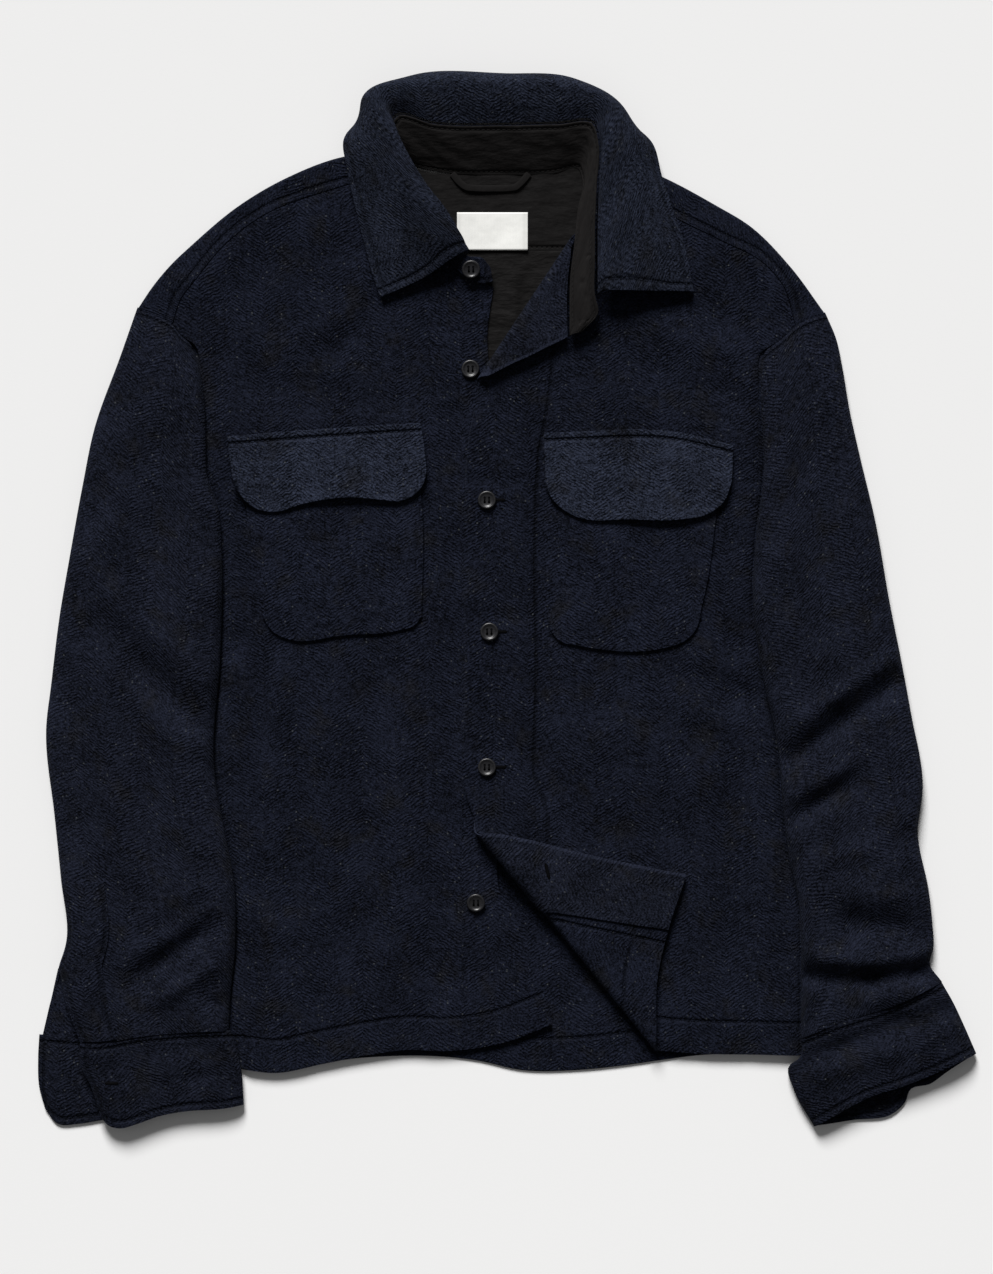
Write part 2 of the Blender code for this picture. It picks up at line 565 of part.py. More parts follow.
def yoke():
    """The shoulder piece: flat at the back, rolled over at each shoulder and down to the front seams."""
    right_shares = np.delete(RIGHT_COLUMNS[:RIGHT_CORNER + 1] / RIGHT_COLUMNS[RIGHT_CORNER], (1, 2))
    left_shares = (LEFT_COLUMNS[LEFT_CORNER:] - LEFT_COLUMNS[LEFT_CORNER]) / (1 - LEFT_COLUMNS[LEFT_CORNER])
    left_shares = np.delete(left_shares, (-2, -3))
    neck_shares = np.linspace(0, 1, 9)
    shoulders = (fine_line(RIGHT_SHOULDER), fine_line(BACK_NECK), fine_line(LEFT_SHOULDER))
    shares = (right_shares, neck_shares, left_shares)
    neck_counts = [len(share) for share in shares]
    back_top = [along(line, share) for line, share in zip(shoulders, shares)]
    fronts = (along(fine_line(RIGHT_YOKE_SEAM), right_shares), along(fine_line(LEFT_YOKE_SEAM), left_shares))
    radius = FRONT_LEVEL / 2
    mesh = bmesh.new()
    rim = np.vstack([back_top[0], back_top[1][1:-1], back_top[2]])
    seam = along(fine_line(BACK_SEAM), np.linspace(0, 1, len(rim)))
    places = np.arange(len(rim))
    on_shoulder = (places < neck_counts[0]) | (places >= len(rim) - neck_counts[2])
    inset = np.where(on_shoulder, radius, 0.0)
    inward = seam - rim
    inward = inward / np.linalg.norm(inward, axis=1)[:, None]
    foot = rim + inward * inset[:, None]
    rows = [seam * (1 - t) + foot * t for t in np.linspace(0, 1, 4)]
    flat = np.stack([np.column_stack([row, np.zeros(len(row))]) for row in rows])
    lay_grid(mesh, flat[:, ::-1])
    sides = (slice(0, neck_counts[0]), slice(len(rim) - neck_counts[2], None))
    for side, front in zip(sides, fronts):
        edge = rim[side]
        base = foot[side]
        ahead = front - edge
        ahead = ahead / np.linalg.norm(ahead, axis=1)[:, None]
        crest = edge + ahead * radius
        crest_z = body_level(crest[:, 0], crest[:, 1])
        layers = [np.column_stack([base, np.zeros(len(base))])]
        for angle in np.linspace(0, math.pi, 6)[1:-1]:
            swing = (1 + math.cos(angle)) / 2
            out = math.sin(angle)
            middle = base * swing + crest * (1 - swing)
            reach = edge - (base + crest) / 2
            height = crest_z * (1 - math.cos(angle)) / 2
            layers.append(np.column_stack([middle + reach * out, height]))
        for t in np.linspace(0, 1, 3):
            place = crest * (1 - t) + front * t
            layers.append(np.column_stack([place, body_level(place[:, 0], place[:, 1])]))
        lay_grid(mesh, np.stack(layers)[:, ::-1])
    return cloth("yoke", mesh, "wool", WOOL)


def back():
    """The back panel, flat on the surface, under both fronts."""
    right_side = fine_line(RIGHT_SIDE)[:(SIDE_END + 1) * 12 + 1] + np.array([BACK_INSET, 0])
    left_side = fine_line(LEFT_SIDE)[:SIDE_END * 12 + 1] - np.array([BACK_INSET, 0])
    right_side = np.vstack([right_side, [BACK_SEAM[0][0], BACK_SEAM_Y - GAP]])
    left_side = np.vstack([left_side[:-2], [BACK_SEAM[-1][0] - 29, BACK_SEAM_Y - 7],
                           [BACK_SEAM[-1][0], BACK_SEAM_Y - GAP]])
    top = fine_line(BACK_SEAM) - np.array([0, GAP])
    hem = fine_line((tuple(right_side[0]),) + BACK_HEM[1:-1] + (tuple(left_side[0]),))
    across, up = np.meshgrid(np.linspace(0, 1, 17), np.linspace(0, 1, BODY_ROWS))
    plan = patch(hem, top, right_side, left_side, across, up)
    mesh = bmesh.new()
    lay_grid(mesh, np.concatenate([plan, np.zeros(plan.shape[:2] + (1,))], axis=-1)[:, ::-1])
    return cloth("back", mesh, "wool", WOOL)


def linings():
    """Black cotton inside the back yoke and the upper back, with its centre pleat."""
    left, right = YOKE_LINING_WIDTH
    neck = fine_line(((left, 355), (-66, 347.5), (-43, 345), (-2, 344), (39, 345), (58, 348), (right, 355)))
    columns = np.linspace(0, 1, 19)
    top = along(neck, columns)
    low = np.column_stack([top[:, 0], np.full(len(columns), LINING_SEAM_Y + GAP)])
    rows = [low * (1 - t) + top * t for t in np.linspace(0, 1, 4)]
    face = np.stack([np.column_stack([row, np.full(len(row), LINING_FLOOR + LINING)]) for row in rows])
    mesh = bmesh.new()
    lay_grid(mesh, face)
    cloth("yoke_lining", mesh, "lining", LINING)
    beside = (np.linspace(left, PLEAT_X - 14, 7), np.linspace(PLEAT_X + 14, right, 7))
    on_pleat = PLEAT_X + np.array([-9, -5, 0, 5, 9])
    x, y = np.meshgrid(np.concatenate([beside[0], on_pleat, beside[1]]),
                       np.linspace(LINING_END_Y, LINING_SEAM_Y, 8))
    ridge = PLEAT_HEIGHT * np.exp(-((x - PLEAT_X) / PLEAT_WIDTH) ** 2) * ease((LINING_SEAM_Y - y) / 25)
    keep = ease((y - 262) / 12)
    mesh = bmesh.new()
    lay_grid(mesh, np.stack([x, y, LINING_FLOOR + LINING + ridge * keep], axis=-1))
    cloth("back_lining", mesh, "lining", LINING)


def tube(section, over, under, heights, folds, rows, vent=None):
    """A flattened tube or an open band: the lower half follows one outline and the upper half another."""
    section = np.array(section)
    across, up = section[:, 0], section[:, 1].copy()
    half = int(np.argmax(across)) + 1
    levels = np.array(heights, float)
    layers = []
    for down in rows:
        lower = patch(*under, across[:half], np.full(half, 1 - down))
        upper = patch(*over, across[half:], np.full(len(across) - half, 1 - down))
        plan = np.vstack([lower, upper])
        opened = 0.0 if vent is None else float(ease((down - vent[0]) / vent[1]))
        lift = up.copy()
        lift[:4] *= 1 - opened
        lift[-4:] = lift[-4:] * (1 - opened) + np.array([0.93, 0.88, 0.82, 0.78]) * opened
        height = np.interp(down, levels[:, 0], levels[:, 1])
        weight = ease((up - 0.5) / 0.4)
        weight[:half] = 0
        z = lift * height + relief(plan[:, 0], plan[:, 1], folds) * weight
        layers.append(np.column_stack([plan, z]))
    return np.stack(layers)


def sleeves():
    """Both sleeves, flattened tubes; the right one opens at its vent above the cuff."""
    armhole = fine_line(RIGHT_ARMHOLE)
    inner = fine_line(RIGHT_SLEEVE_INNER)[::-1]
    over_left = np.vstack([fine_line(RIGHT_SLEEVE_OUTER), fine_line(RIGHT_VENT_OVER)[1:]])[::-1]
    under_left = np.vstack([fine_line(RIGHT_SLEEVE_OUTER), fine_line(RIGHT_VENT_UNDER)[1:]])[::-1]
    over = (fine_line(RIGHT_CUFF_SEAM_OVER), armhole, over_left, inner)
    under = (fine_line(RIGHT_CUFF_SEAM_UNDER), fine_line(RIGHT_ARMHOLE_UNDER), under_left, inner)
    rows = np.linspace(0, 1, SLEEVE_ROWS)
    points = tube(TUBE_SECTION, over, under, SLEEVE_HEIGHTS, RIGHT_SLEEVE_FOLDS, rows, (0.905, 0.05))
    closed = rows <= 0.905
    middle = (points[closed, 0] + points[closed, -1]) / 2
    points[closed, 0] = middle
    points[closed, -1] = middle
    mesh = bmesh.new()
    lay_grid(mesh, points)
    cloth("sleeve_right", mesh, "wool", WOOL)
    strip_rows = rows[rows > 0.77]
    strip = tube(TUBE_SECTION, over, under, SLEEVE_HEIGHTS, RIGHT_SLEEVE_FOLDS, strip_rows, (0.905, 0.05))
    mesh = bmesh.new()
    lay_grid(mesh, strip[:, 15:19])
    shift_along_normals(mesh, LAID_GAP)
    cloth("sleeve_placket_right", mesh, "wool", TAPE, 1.0)
    outer = fine_line(LEFT_SLEEVE_OUTER)[::-1]
    inside = fine_line(LEFT_SLEEVE_INNER)[::-1]
    over = (fine_line(LEFT_CUFF_SEAM), fine_line(LEFT_ARMHOLE), inside, outer)
    under = (fine_line(LEFT_CUFF_SEAM), fine_line(LEFT_ARMHOLE_UNDER), inside, outer)
    points = tube(TUBE_SECTION, over, under, SLEEVE_HEIGHTS, LEFT_SLEEVE_FOLDS, rows)
    mesh = bmesh.new()
    lay_grid(mesh, points)
    cloth("sleeve_left", mesh, "wool", WOOL)


def cuffs():
    """Both cuffs, unfastened: the right one shows its two ends, the left one opens underneath."""
    fold = fine_line(RIGHT_CUFF_FOLD)[::-1]
    over = (fine_line(RIGHT_CUFF_LOW_OVER), fine_line(RIGHT_CUFF_TOP_OVER),
            fine_line(RIGHT_CUFF_OVER_END)[::-1], fold)
    under = (fine_line(RIGHT_CUFF_LOW_UNDER), fine_line(RIGHT_CUFF_TOP_UNDER),
             fine_line(RIGHT_CUFF_UNDER_END)[::-1], fold)
    rows = np.linspace(0, 1, 6)
    points = tube(CUFF_SECTION, over, under, RIGHT_CUFF_HEIGHTS, RIGHT_CUFF_FOLDS, rows, (-1.0, 0.5))
    mesh = bmesh.new()
    lay_grid(mesh, points)
    cloth("cuff_right", mesh, "wool", CUFF_WALL)
    left = fine_line(LEFT_CUFF_LEFT_FOLD)[::-1]
    right = fine_line(LEFT_CUFF_RIGHT_FOLD)[::-1]
    over = (fine_line(LEFT_CUFF_LOW_OVER), fine_line(LEFT_CUFF_TOP), left, right)
    under = (fine_line(LEFT_CUFF_LOW_UNDER), fine_line(LEFT_CUFF_TOP), left, right)
    points = tube(CUFF_SECTION, over, under, LEFT_CUFF_HEIGHTS, LEFT_CUFF_FOLDS, rows)
    mesh = bmesh.new()
    lay_grid(mesh, points)
    cloth("cuff_left", mesh, "wool", CUFF_WALL)


def pockets():
    """Pocket bags on the fronts and their flaps, drawn from the face they lie on and moved out."""
    across, up = np.meshgrid(POCKET_SHARES, (0, 0.07, 0.18, 0.36, 0.57, 0.78, 1))
    for name, edges in BAGS.items():
        level = over_level if name.endswith("left") else body_level
        plan = patch(fine_line(edges["low"]), fine_line(edges["top"]), fine_line(edges["left"])[::-1],
                     fine_line(edges["right"])[::-1], across, up)
        z = level(plan[..., 0], plan[..., 1]) + LAID_GAP + WOOL
        mesh = bmesh.new()
        lay_grid(mesh, np.concatenate([plan, z[..., None]], axis=-1))
        cloth(name, mesh, "wool", WOOL)
    across, up = np.meshgrid(FLAP_SHARES, np.linspace(0, 1, 5))
    for name, edges in FLAPS.items():
        level = over_level if name.endswith("left") else body_level
        plan = patch(fine_line(edges["low"]), fine_line(edges["top"]), fine_line(edges["left"])[::-1],
                     fine_line(edges["right"])[::-1], across, up)
        z = level(plan[..., 0], plan[..., 1]) + 2 * (LAID_GAP + WOOL)
        wave = 0.55 + 0.45 * np.cos(across * 2 * math.pi * 1.5 + 0.6)
        z = z + FLAP_CURL * wave * (1 - up) ** 2
        mesh = bmesh.new()
        lay_grid(mesh, np.concatenate([plan, z[..., None]], axis=-1))
        cloth(name, mesh, "wool", WOOL)


def collar():
    """Stand, its lining and the leaf, drawn through the sections round the neck."""
    table = np.array(COLLAR, float)
    stand = list(table[:, :2])
    stand = [np.array(row, float) for row in STAND_RIGHT_END] + stand
    stand = stand + [np.array(row, float) for row in STAND_LEFT_END]
    stations = np.linspace(0, 1, 43)
    neck = fine_line([row[0] for row in stand])
    top = fine_line([row[1] for row in stand])
    knots_low = along(neck, stations)
    matched = match_along(neck, top, stations)
    rise = matched - knots_low
    length = np.linalg.norm(rise, axis=1)[:, None]
    high = matched - rise / length * STAND_GAP
    rows = [knots_low * (1 - t) + high * t for t in np.linspace(0, 1, 4)]
    face = np.stack(rows)
    mesh = bmesh.new()
    lay_grid(mesh, face)
    cloth("collar_stand", mesh, "wool", STAND_WALL)
    mesh = bmesh.new()
    lay_grid(mesh, face)
    shift_along_normals(mesh, GAP)
    cloth("stand_lining", mesh, "lining", LINING, 1.0)
    lines = [fine_line(table[:, column]) for column in range(1, 6)]
    leaf_stations = np.linspace(0, 1, 41)
    crossing = []
    for station in leaf_stations:
        knots = np.array([at_station(line, station) for line in lines])
        crossing.append(along(fine_line(knots), LEAF_STEPS))
    mesh = bmesh.new()
    lay_grid(mesh, np.array(crossing).transpose(1, 0, 2))
    cloth("collar_leaf", mesh, "wool", LEAF_WALL)


def at_station(line, fraction):
    """Point of a fine line at a share of its sections, whatever their lengths."""
    place = fraction * (len(line) - 1)
    return np.array([np.interp(place, np.arange(len(line)), line[:, axis]) for axis in range(line.shape[1])])


def match_along(first, second, fractions):
    """Points of the second line at the sections where the first has the given shares of its length."""
    run = np.concatenate([[0.0], np.cumsum(np.linalg.norm(np.diff(first, axis=0), axis=1))])
    place = np.interp(np.asarray(fractions) * run[-1], run, np.arange(len(first)))
    return np.stack([np.interp(place, np.arange(len(second)), second[:, axis])
                     for axis in range(second.shape[1])], axis=-1)


def label_and_loop():
    """Blank woven label and the narrow loop above it, both on the yoke lining."""
    floor = LINING_FLOOR + LINING + GAP
    width, height = LABEL_SIZE
    x, y = np.meshgrid(LABEL_CENTRE[0] + np.linspace(-0.5, 0.5, 7) * width,
                       LABEL_CENTRE[1] + np.linspace(-0.5, 0.5, 5) * height)
    mesh = bmesh.new()
    lay_grid(mesh, np.stack([x, y, np.full(x.shape, floor + LINING)], axis=-1))
    cloth("label", mesh, "label", LINING)
    centre = along(fine_line(LOOP_PATH), np.linspace(0, 1, 17))
    run = np.gradient(centre, axis=0)
    run = run / np.linalg.norm(run, axis=1)[:, None]
    across = np.column_stack([-run[:, 1], run[:, 0]]) * LOOP_WIDTH / 2
    z = floor + TAPE + 0.8 * np.sin(np.linspace(0, 1, 17) * math.pi)
    rows = np.stack([np.column_stack([centre - across, z]), np.column_stack([centre + across, z])])
    mesh = bmesh.new()
    lay_grid(mesh, rows)
    cloth("hang_loop", mesh, "lining", TAPE)


def buttons():
    """Four-hole buttons with a raised rim and a dished middle, each on the cloth below it."""
    radius = BUTTON_DIAMETER / 2
    profile = ((0.0, 0.0), (0.78, 0.0), (1.0, 0.35), (0.97, 0.85), (0.84, 1.0), (0.70, 0.78), (0.0, 0.62))
    floors = {"button_1": 12.6, "button_2": body_level(-30, 189.5), "button_6": body_level(-25.5, -248)}
    for name, (x, y, tilt) in BUTTONS.items():
        floor = floors.get(name, over_level(x, y)) + GAP + (1.0 if tilt else 0.0)
        mesh = bmesh.new()
        edge = [mesh.verts.new((r * radius * MM, 0, h * BUTTON_HEIGHT * MM)) for r, h in profile]
        lines = [mesh.edges.new(pair) for pair in zip(edge[:-1], edge[1:])]
        bmesh.ops.spin(mesh, geom=edge + lines, cent=(0, 0, 0), axis=(0, 0, 1), angle=2 * math.pi,
                       steps=BUTTON_SIDES, use_merge=True)
        bmesh.ops.remove_doubles(mesh, verts=mesh.verts, dist=1e-6)
        bmesh.ops.recalc_face_normals(mesh, faces=mesh.faces)
        data = bpy.data.meshes.new(name)
        mesh.to_mesh(data)
        mesh.free()
        data.shade_smooth()
        data.set_sharp_from_angle(angle=math.radians(40))
        data.materials.append(material("button"))
        piece = bpy.data.objects.new(name, data)
        piece.location = (x * MM, y * MM, floor * MM)
        piece.rotation_euler = (math.radians(tilt), 0, 0)
        bpy.context.scene.collection.objects.link(piece)
        drill = bmesh.new()
        for side_x in (-0.5, 0.5):
            for side_y in (-0.5, 0.5):
                made = bmesh.ops.create_cone(drill, cap_ends=True, segments=HOLE_SIDES,
                                             radius1=HOLE_DIAMETER / 2 * MM, radius2=HOLE_DIAMETER / 2 * MM,
                                             depth=4 * BUTTON_HEIGHT * MM)
                shift = (side_x * HOLE_SPACING * MM, side_y * HOLE_SPACING * MM, 0)
                bmesh.ops.translate(drill, verts=made["verts"], vec=shift)
        drill_data = bpy.data.meshes.new(name + "_drill")
        drill.to_mesh(drill_data)
        drill.free()
        cutter = bpy.data.objects.new(name + "_drill", drill_data)
        cutter.parent = piece
        cutter.hide_render = True
        cutter.display_type = "WIRE"
        bpy.context.scene.collection.objects.link(cutter)
        cut = piece.modifiers.new("Holes", "BOOLEAN")
        cut.operation = "DIFFERENCE"
        cut.solver = "EXACT"
        cut.object = cutter


def main():
    clear_scene()
    back()
    yoke()
    linings()
    right_front()
    left_front()
    pockets()
    collar()
    sleeves()
    cuffs()
    label_and_loop()
    buttons()


main()
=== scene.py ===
"""Looks of the shirt jacket: every panel drawn again at cloth scale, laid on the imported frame."""
import math

import bmesh
import bpy
import numpy as np
from bpy.props import FloatProperty, FloatVectorProperty, PointerProperty
from mathutils import Matrix, Vector


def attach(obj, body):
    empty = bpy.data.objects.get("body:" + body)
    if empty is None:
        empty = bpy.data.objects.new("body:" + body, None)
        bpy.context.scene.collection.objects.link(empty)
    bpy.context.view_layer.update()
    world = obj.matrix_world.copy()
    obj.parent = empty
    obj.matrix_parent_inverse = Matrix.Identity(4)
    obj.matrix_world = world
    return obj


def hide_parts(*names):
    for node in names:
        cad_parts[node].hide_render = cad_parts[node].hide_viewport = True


bl_info = {
    "name": "Laid Shirt Jacket",
    "version": (1, 0, 0),
    "blender": (4, 5, 0),
    "location": "3D View > Sidebar > Jacket",
    "description": "Makes a wool shirt jacket laid flat, one panel at a time",
    "category": "Add Mesh",
}

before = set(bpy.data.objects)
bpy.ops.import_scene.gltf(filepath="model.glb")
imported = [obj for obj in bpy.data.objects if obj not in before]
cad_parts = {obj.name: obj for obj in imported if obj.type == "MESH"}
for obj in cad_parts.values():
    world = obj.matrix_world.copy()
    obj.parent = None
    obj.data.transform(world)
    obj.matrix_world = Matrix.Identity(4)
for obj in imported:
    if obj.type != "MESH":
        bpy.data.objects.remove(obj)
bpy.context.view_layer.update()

MM = 0.001

# Cloth walls and the room between layers, in millimetres as every table here
WOOL = 2.2
FACING = 1.0
LINING = 1.0
LEAF_WALL = 2.8
STAND_WALL = 2.0
CUFF_WALL = 2.4
TAPE = 1.0
GAP = 0.3
SEAM_GAP = 0.5
FACING_GAP = 0.8
LAID_GAP = 0.5

# Walls from the first thickness on get soft edges, by this share of their thickness. The last is the
# distance to an edge that a piece doesn't have
THINNEST_SOFTENED = 1.0
SOFT_EDGE = 0.42
NO_EDGE = 500.0

# Where the panels' grids are divided: shares across the fronts, row steps and counts of rows
BACK_STEPS = (0.014, 0.011)
RIGHT_COLUMNS = 84
LEFT_COLUMNS = 80
RIGHT_CORNER_SHARE = 0.60
LEFT_CORNER_SHARE = 0.24
FACING_SHARE = 0.175
RIGHT_SIDE_SHARES = (0.0, 0.0007, 0.002, 0.005, 0.010, 0.017, 0.026)
RIGHT_EDGE_SHARE = 0.994
LEFT_SIDE_SHARES = (0.975, 0.984, 0.990, 0.995, 0.998, 0.9993, 1.0)
ARMHOLE_POINT = -3
LINE_STEPS = 12
TUBE_STEPS = 4
FRONT_ROW = 3.6
SLEEVE_ROW = 0.0065
CUFF_ROW = 0.045
SLEEVE_MIDDLE = 52
STRIP_ROWS = (0.78, 1, 0.006)
STRIP_COLUMNS = slice(60, 73)
YOKE_STEP = 0.024
NECK_COLUMNS = 34
YOKE_ROWS = 16
ROLL_ROWS = 12
YOKE_FRONT_ROWS = 14
COLLAR_STATIONS = 190
STAND_ROWS = 14
LEAF_ROWS = 40
YOKE_LINING_GRID = (60, 24)
BACK_LINING_STEPS = (2.0, 3.0)
LABEL_GRID = (40, 24)
LOOP_GRID = (60, 6)
BAG_STEPS = (0.022, 0.020)
FLAP_STEPS = (0.020, 0.036)

# Seeds of the uneven swells, and the numbers that scatter them
SEEDS = {"sleeve_right": 20, "sleeve_left": 30, "cuff_right": 41, "cuff_left": 47, "collar_leaf": 50}
SCATTER = (127.1, 311.7, 74.7, 43758.5453)

# Lowest outer faces, and how far the sleeves run on at the cuff and at the armhole
LOWEST_FRONT = 4.7
LOWEST_LEAF = 4.2
SEAM_LAP = 1.5
ARMHOLE_TUCK = 3.5

# Levels of the outer faces above the surface the garment rests on
FRONT_LEVEL = 6.6
OVERLAP_RAISE = 4.2
OVERLAP_FULL_X = 7.0
OVERLAP_NONE_X = 29.0
OVERLAP_END_Y = -262.0
OVERLAP_FADE = 42.0
SIDE_FLOOR = 2.0
SIDE_ROLL = 10.0
SIDE_END = 12

# Turned corners of the left front
TURN_COLUMNS = ("start", "end", "start_radius", "end_radius", "settled_lift")
LAPEL_TURN = ((53.0, 295.0), (-25.0, 177.0), 2.5, 2.5, 5.0)
CORNER_TURN = ((-34.0, -178.0), (121.0, -369.0), 5.0, 3.0, 3.5)
SETTLE_RUN = 50.0
TURN_STEPS = 10

# Buttons, whose section is given as shares of the radius and of the height
BUTTON_DIAMETER = 15.0
BUTTON_HEIGHT = 3.2
HOLE_DIAMETER = 2.0
HOLE_SPACING = 3.6
BUTTON_PROFILE = ((0.0, 0.02), (0.70, 0.0), (0.90, 0.10), (0.985, 0.30), (1.0, 0.55), (0.985, 0.80),
                  (0.93, 0.95), (0.86, 1.0), (0.78, 0.96), (0.72, 0.84), (0.66, 0.72), (0.52, 0.66),
                  (0.30, 0.63), (0.0, 0.62))

# Edge curves of the body, as x and y of points that each curve passes through
RIGHT_SIDE = ((-219, -385), (-226, -328), (-222, -287), (-223, -230), (-230, -193), (-239, -139),
              (-234, -45), (-233, 41), (-236, 75), (-245, 102), (-246, 131), (-248, 170), (-251, 190),
              (-257, 210), (-266.5, 216.5), (-274.5, 226.5))
LEFT_SIDE = ((240, -374), (240, -312), (239, -254), (231, -216), (225, -166), (222, -129), (207, -53),
             (201, -3), (203, 48), (210, 110), (208, 150), (207, 180), (209, 203), (223, 212.5),
             (237, 224.5))
RIGHT_HEM = ((-219, -385), (-189, -388), (-153, -381), (-117, -374), (-82, -369), (-52, -370),
             (1, -362), (37, -348))
LEFT_HEM = ((-22, -364), (68, -359), (121, -369), (155, -372), (207, -373), (240, -374))
BACK_HEM = ((-218.4, -384), (-190, -386), (-120, -376), (-52, -375), (-25, -378), (12, -386), (57, -386),
            (97, -382), (125, -378), (155, -374), (239.4, -373))
RIGHT_FRONT_EDGE = ((37, -348), (24, -301), (12, -269), (-5, -243), (-8, -205), (-5, -164), (0, -82),
                    (0, 82), (-6, 160), (-14, 190), (-16, 215), (-11, 257))
LEFT_FRONT_EDGE = ((-22, -364), (-28, -260), (-35, -170), (-36, -134), (-34, -66), (-35, 52),
                   (-31, 131), (-24, 171), (-18, 260))
RIGHT_NECK = ((-92, 352), (-82, 330), (-66, 303), (-48, 280), (-30, 266), (-11, 257))
LEFT_NECK = ((-18, 260), (24, 278), (53, 295))
LEFT_NECK_RISE = ((53, 295), (66, 307), (90, 341))
RIGHT_YOKE_SEAM = ((-274.5, 226.5), (-268, 246), (-256, 262), (-231, 292), (-197, 317), (-153, 334),
                   (-130, 341), (-92, 352))
LEFT_YOKE_SEAM = ((90, 341), (104, 332), (139, 313), (175, 295), (212, 275), (227, 257), (237, 224.5))
RIGHT_SHOULDER = ((-303, 239), (-291, 257), (-276, 275), (-258, 292), (-221, 323), (-180, 347),
                  (-134, 364), (-92, 368))
LEFT_SHOULDER = ((80, 362), (101, 358), (126, 348), (173, 323), (198, 308), (233, 273), (261, 235))
BACK_NECK = ((-92, 368), (-80, 357), (-66, 351), (-43, 348), (-2, 347), (39, 348), (60, 351), (80, 362))
BACK_SEAM_Y = 222.0
BACK_SEAM = ((-269.5, BACK_SEAM_Y), (-120, BACK_SEAM_Y), (60, BACK_SEAM_Y), (235, BACK_SEAM_Y))

# The back stands out a little past the fronts' sides: everywhere, and more past each height, as
# start, run and spread; then the points that take its sides on to the yoke seam
BACK_SPREAD = 2.2
BACK_RIGHT_STEPS = ((-318, -26, 4), (180, 14, 3))
BACK_LEFT_STEPS = ((150, 20, 5),)
BACK_RIGHT_CORNER = (-272.5, BACK_SEAM_Y - GAP)
BACK_LEFT_CORNER = ((220, 207), (230, 215), (238, BACK_SEAM_Y - GAP))

# Straight folds: a line from one end to the other, half width and height
FOLD_COLUMNS = ("x0", "y0", "x1", "y1", "width", "height")
BODY_FOLDS = (
    (-118, -56, -112, -246, 16, -1.6),
    (-150, -85, -140, -240, 22, 2.2),
    (-80, -90, -75, -250, 18, 1.6),
    (-62, -250, -58, -330, 10, -1.2),
    (-224, -60, -210, -330, 12, 3.4),
    (-225, 90, -224, -20, 7, 1.6),
    (-228, 190, -228, 112, 9, 2.4),
    (-262, 258, -190, 318, 13, 2.4),
    (-207, 180, -145, 168, 15, -1.2),
    (150, -66, 208, -80, 10, -1.5),
    (152, -46, 196, -54, 11, 1.4),
    (205, -70, 218, -340, 12, 3.4),
    (191, 70, 190, -20, 7, 1.4),
    (197, 180, 197, 116, 8, 2.2),
    (46, 320, 44, 170, 26, 2.0),
    (170, 306, 226, 256, 13, 2.4),
    (80, -110, 170, -140, 20, 1.3),
    (-88, 260, -150, 200, 9, -0.7),
    (-120, 180, -180, 205, 11, 0.8),
    (-190, 230, -214, 190, 8, -0.8),
    (-50, 150, -58, 60, 8, -0.8),
    (-40, 60, -46, -60, 7, -0.7),
    (-185, -60, -196, -150, 9, 0.9),
    (-168, -190, -176, -300, 10, -0.9),
    (-100, -255, -96, -350, 11, 0.8),
    (-130, -262, -150, -330, 9, -0.7),
    (-40, -200, -48, -270, 7, 0.8),
    (60, 240, 120, 205, 10, 0.7),
    (110, 260, 180, 235, 12, -0.7),
    (20, 160, 26, 20, 6, -0.9),
    (26, -20, 30, -160, 6, -0.8),
    (60, -90, 96, -150, 12, 0.9),
    (120, -180, 180, -215, 13, -0.8),
    (150, -250, 214, -280, 11, 0.7),
    (90, -60, 128, -84, 9, -0.7),
    (170, 20, 200, 34, 8, 0.7),
    (-36, 99, 20, 95, 6, -1.0),
    (-36, -12, 24, -15, 6, -0.9),
)

# Sleeves: edge curves from the armhole down, then the share of the length where the vent begins and
# over which it opens, the heights of the flattened tube and its folds
RIGHT_SLEEVE_OUTER = ((-304.5, 237), (-317, 201), (-339, 139), (-348, 95), (-359, 34), (-367, -13),
                      (-374, -70), (-378, -104), (-371, -178), (-366, -228), (-362, -283), (-368, -301))
RIGHT_VENT_UNDER = ((-368, -301), (-374, -326), (-381, -356))
RIGHT_VENT_OVER = ((-368, -301), (-362, -328), (-350, -362))
RIGHT_SLEEVE_INNER = ((-258.5, 208), (-252, 189), (-249, 170), (-247, 131), (-246, 102), (-237, 75),
                      (-234, 41), (-235, -45), (-240, -139), (-231, -193), (-224, -230), (-223, -287),
                      (-227, -328), (-228, -352))
RIGHT_ARMHOLE = ((-304.5, 237), (-288, 231.5), (-275.8, 225.2), (-267.4, 215), (-258.5, 208))
RIGHT_ARMHOLE_UNDER = ((-304.5, 237), (-272, 219.5), (-258.5, 208))
RIGHT_CUFF_SEAM_OVER = ((-350, -362), (-335, -362), (-305, -357), (-263, -353), (-228, -352))
RIGHT_CUFF_SEAM_UNDER = ((-381, -356), (-335, -359), (-263, -353), (-228, -352))
LEFT_SLEEVE_OUTER = ((262.5, 233), (270, 215), (275, 192), (281, 156), (289, 120), (302, 65), (314, -3),
                     (324, -53), (331, -91), (341, -153), (337, -191), (346, -239), (349, -266),
                     (350, -284), (347, -299), (356, -312))
LEFT_SLEEVE_INNER = ((211, 200.6), (208.5, 180), (209, 150), (211, 110), (204, 48), (202, -3), (208, -53),
                     (223, -129), (226, -166), (232, -216), (240, -254), (241, -312), (241, -358))
LEFT_ARMHOLE = ((211, 200.6), (224.2, 210.4), (238, 222.8), (249, 228.6), (262.5, 233))
LEFT_ARMHOLE_UNDER = ((211, 200.6), (238, 219), (262.5, 233))
LEFT_CUFF_SEAM = ((241, -358), (273, -345), (317, -331), (356, -312))
VENT = (0.905, 0.05)
OPEN_THROUGHOUT = (-1.0, 0.5)
TUBE_SLACK = 1.5
